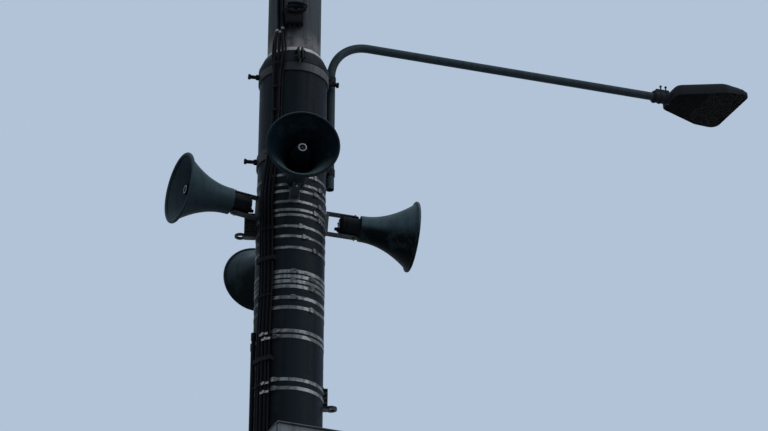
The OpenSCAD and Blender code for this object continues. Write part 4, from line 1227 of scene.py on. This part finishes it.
def band_strap(height):
    """Steel strap round the pole that steps out over each foot that it holds."""
    half, edge, steps, ramp = BAND_WIDTH / 2, 0.0009, 240, 1.6
    section = band_outline(0.0, BAND_THICK, -half, half, edge)
    rings = []
    for i in range(steps):
        azimuth = 360 * i / steps
        radius = LOWER_R + BAND_OFF
        for foot, foot_z, foot_half, foot_angle in BAND_FEET:
            beyond = abs((azimuth - foot + 180) % 360 - 180) - foot_angle
            if abs(height - foot_z) < foot_half + half and beyond < ramp:
                radius = LOWER_R + BAND_OFF + FOOT_THICK * min(1.0, 1 - beyond / ramp)
        rings.append([polar(radius + out, azimuth, height + up) for out, up in section])
    return skin(rings, True)


def band_details():
    """Steel bands of the horns, and ears and folded tails on every band's lock."""
    straps = joined([band_strap(z) for z, _ in HORN_BANDS])
    bands = add_piece("horn_band_straps", straps, "band_steel", smooth=40)
    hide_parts("horn_bands")
    places = HORN_BANDS + MIDDLE_BANDS + ANCHOR_BANDS
    add_piece("band_locks", grow(LOCKS, round_mesh(places), MATERIALS["band_steel"]), "band_steel")


def left_anchor():
    """Cast anchor on the left: a pad under the bands, a ribbed block and a level eye."""
    azimuth, height, pad_half, pad_angle = BAND_FEET[-1]
    root_r = LOWER_R + FOOT_THICK
    frame_at_pad = facing(azimuth, height) @ Matrix.Translation((root_r, 0, 0))
    pad = band_outline(LOWER_R, root_r, height - pad_half, height + pad_half)
    parts = [swept_ring(pad, azimuth - pad_angle, azimuth + pad_angle, 12),
             block((-0.002, -0.009, -0.059), (0.062, 0.009, 0.084), frame_at_pad, 0.002)]
    ribs, rib_pitch, rib_thick, rib_low = 5, 0.03425, 0.006, -0.061
    for low in [rib_low + rib_pitch * i for i in range(ribs)]:
        parts.append(block((0, -0.022, low), (0.060, 0.022, low + rib_thick), frame_at_pad, 0.0015))
    hole_r, eye_r, low, high, edge = 0.017, 0.031, -0.058, -0.044, 0.002
    parts.append(block((0.010, -0.015, low), (0.066, 0.015, high), frame_at_pad, edge))
    eye = [(hole_r, low + edge), (hole_r + edge, low), (eye_r - edge, low), (eye_r, low + edge),
           (eye_r, high - edge), (eye_r - edge, high), (hole_r + edge, high), (hole_r, high - edge)]
    parts.append(lathe(eye, frame_at_pad @ Matrix.Translation((0.082, 0, 0)) @ UPRIGHT, 40))
    piece = add_piece("left_anchor_casting", joined(parts), "cast_alloy", smooth=35)
    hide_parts("left_anchor")


def spare_coil():
    """Middle line of the coil of spare cable: uneven oval turns that hang on the splice box's hook."""
    turns, steps, start, pitch = 5.3, 210, 0.6, 0.0095
    middle_y, middle_z, half_wide, half_tall = -0.004, 10.088, 0.050, 0.022
    line = []
    for i in range(steps + 1):
        t = turns * i / steps
        a = 2 * math.pi * t + start
        wide, tall = half_wide - 0.009 * math.sin(2.3 * t), half_tall + 0.008 * math.sin(1.7 * t + 1)
        line.append(Vector((UPPER_R + 0.014 + pitch * t,
                            middle_y + 0.006 * math.sin(3.1 * t) + wide * math.cos(a),
                            middle_z + 0.006 * math.sin(2.6 * t) + tall * math.sin(a))))
    return line


def splice_box():
    """Splice box on the upper tube with its lid, face, hook and glands, and the spare cable above it."""
    front = facing(-88)
    back, face = UPPER_R - 0.004, UPPER_R + 0.046
    # Corners of the box, its lid, its face and its hook, and how far their edges are rounded
    boxes = (((back, -0.058, 9.990), (face, 0.042, 10.056), 0.006),
             ((back, -0.053, 10.054), (face - 0.007, 0.037, 10.062), 0.003),
             ((face - 0.004, -0.048, 9.997), (face + 0.003, 0.032, 10.048), 0.003),
             ((back, -0.009, 10.058), (UPPER_R + 0.016, 0.009, 10.112), 0.002))
    parts = [block(low, high, front, edge) for low, high, edge in boxes]
    gland = [(0.0, 9.970), (0.0052, 9.970), (0.0064, 9.978), (0.0095, 9.980), (0.0095, 9.992), (0.0, 9.992)]
    for y in (-0.034, -0.006, 0.022):
        parts.append(lathe(gland, front @ Matrix.Translation((UPPER_R + 0.022, y, 0)) @ UPRIGHT, 20))
    parts.append(tube_along([front @ point for point in spare_coil()], 0.0058, 10))
    piece = add_piece("splice_box", joined(parts), "box_black", smooth=35)
    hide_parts("junction_box")


def lamp_matrix():
    """Frame of the lamp: origin at the arm's end, X on along the arm, Z up through the lamp."""
    flat = Vector((math.cos(ARM_AZIMUTH), math.sin(ARM_AZIMUTH), 0))
    out = flat * math.cos(ARM_RISE) + Vector((0, 0, math.sin(ARM_RISE)))
    side = Vector((-flat.y, flat.x, 0))
    turn = Matrix((out, side, out.cross(side))).transposed().to_4x4()
    return Matrix.Translation(flat * ARM_END[0] + Vector((0, 0, ARM_END[1]))) @ turn


def wrapped_ring(circles, inset, height, count=96):
    """Ring of points at even turns on the outline that wraps circles and their mirror images."""
    turns = [math.radians(11.25 * i) for i in range(32)]
    cloud = [Vector((x + (radius - inset) * math.cos(t), side * y + (radius - inset) * math.sin(t)))
             for x, y, radius in circles for side in (-1, 1) for t in turns]
    hull = [cloud[i] for i in convex_hull_2d(cloud)]
    middle = Vector((LAMP_LONG / 2, 0.0))
    ring = []
    for k in range(count):
        ahead = Vector((math.cos(2 * math.pi * k / count), math.sin(2 * math.pi * k / count)))
        reach = []
        for one, two in zip(hull, hull[1:] + hull[:1]):
            out = Vector((two.y - one.y, one.x - two.x))
            if out.dot(one - middle) * out.dot(ahead) > 1e-12:
                reach.append(out.dot(one - middle) / out.dot(ahead))
        spot = middle + ahead * min(reach)
        ring.append(Vector((spot.x, spot.y, height)))
    return ring


def lamp_body():
    """Lamp's housing: a rim round the pane's recess, and a raised cover with a rounded shoulder and ribs."""
    foot, recess, shoulder, top = -0.016, 0.004, 0.007, 0.056
    levels = ((LAMP_RIM, recess), (LAMP_RIM, foot), (LAMP_EDGE, foot), (0.0, foot + LAMP_EDGE),
              (0.0, shoulder - 0.001), (LAMP_EDGE, shoulder))
    rings = [wrapped_ring(LAMP_PLAN, inset, height) for inset, height in levels]
    cover = wrapped_ring(LAMP_COVER, 0.0, top)
    body = rings[-1]
    for inward, upward in LAMP_SHOULDER:
        ring = [edge.lerp(inner, inward) for edge, inner in zip(body, cover)]
        for point in ring:
            point.z = shoulder + (top - shoulder) * upward
        rings.append(ring)
    matrix = lamp_matrix() @ Matrix.Translation((LAMP_OUT, 0, 0))
    parts = [skin([[matrix @ point for point in ring] for ring in rings])]
    rib_half, rib_pitch = 0.002, 0.026
    for y in [rib_pitch * i for i in range(-3, 4)]:
        low, high = (0.090, y - rib_half, top - 0.006), (0.235, y + rib_half, top + 0.010)
        parts.append(block(low, high, matrix, 0.001))
    piece = add_piece("lamp_body", joined(parts), "lamp_paint", smooth=25)
    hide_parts("lamp_housing")


def lamp_details():
    """Moulded optics under the light sources, in rows across the lamp."""
    matrix = lamp_matrix()
    down = matrix.to_3x3() @ Vector((0, 0, -1))
    first, pitch, pitch_across, below = LAMP_OUT + 0.246, 0.034, 0.036, 0.0070
    places = [(matrix @ Vector((first + pitch * i, pitch_across * j, -below)), down)
              for i in range(5) for j in range(-3, 4)]
    lenses = grow(LENSES, place_mesh(places), LENS, Radius=0.0085, Oval=1.1, Flatness=0.20)
    add_piece("lamp_lenses", lenses, "led_board")


def nose_ring(name, matrix):
    """Bright ring on the nose of a horn's reflector, and the screw in its middle."""
    front = matrix @ Matrix.Translation((NOSE_X - 0.0005, 0, 0))
    ring = lathe([(0.0165, 0.0), (0.0232, 0.0), (0.0238, 0.0020), (0.0226, 0.0046), (0.0210, 0.0054),
                  (0.0180, 0.0054), (0.0165, 0.0040)], front, 48)
    screw = lathe([(0.0, 0.0), (0.0066, 0.0), (0.0066, 0.0034), (0.0048, 0.0052), (0.0, 0.0056)], front, 24)
    add_piece(name + "_nose_ring", joined([ring, screw]), "bright_steel", NOSE_STEEL, name + "_horn", 40)


def driver_screws(name, matrix):
    """Screws on the rear cover of a horn's driver."""
    ring_r, screws = DRIVER_R - 0.021, 4
    back = matrix.to_3x3() @ Vector((-1, 0, 0))
    places = []
    for k in range(screws):
        a = math.radians(45) + 2 * math.pi * k / screws
        spot = Vector((DRIVER_END + 0.0005, ring_r * math.cos(a), ring_r * math.sin(a)))
        places.append((matrix @ spot, back))
    heads = grow(FASTENER, place_mesh(places), SCREW_STEEL, Washer_radius=0.0065, Washer_height=0.0012,
                 Nut_radius=0.0050, Nut_height=0.0040, Stud_radius=0.0020, Stud_length=0.0050)
    add_piece(name + "_driver_screws", heads, "galvanised", body=name + "_horn")


def pivot_threads(name, matrix):
    """Threaded ends of the bolts that a horn pivots on. They stay with the stirrup."""
    seat, core_r = STIRRUP_TOP + 0.0068, 0.0043
    turn = matrix.to_3x3()
    places = [(matrix @ Vector((0, 0, side * seat)), turn @ Vector((0, 0, side))) for side in (-1, 1)]
    studs = [grow(THREAD, place_mesh(places), SCREW_STEEL, Radius=0.0042, Pitch=0.0015, Length=0.0080,
                  Wire=0.0008)]
    outline = [(0.0, 0.0), (core_r, 0.0), (core_r, 0.0085), (0.0036, 0.0092), (0.0, 0.0092)]
    studs += [lathe(outline, Matrix.Translation(spot) @ pointing(axis), 16) for spot, axis in places]
    add_piece(name + "_pivot_threads", joined(studs), "galvanised", SCREW_STEEL, smooth=35)


bpy.context.scene.view_settings.view_transform = "Standard"
make_camera()
make_floor()
make_light()
finish_frame()
base_details()
lower_tube_skin()
step_cone()
step_clamps()
clamp_hardware()
riser_cables()
riser_saddles()
riser_details()
band_details()
left_anchor()
splice_box()
lamp_body()
lamp_details()
for horn in HORNS:
    place = horn_matrix(horn)
    nose_ring(horn, place)
    driver_screws(horn, place)
    pivot_threads(horn, place)
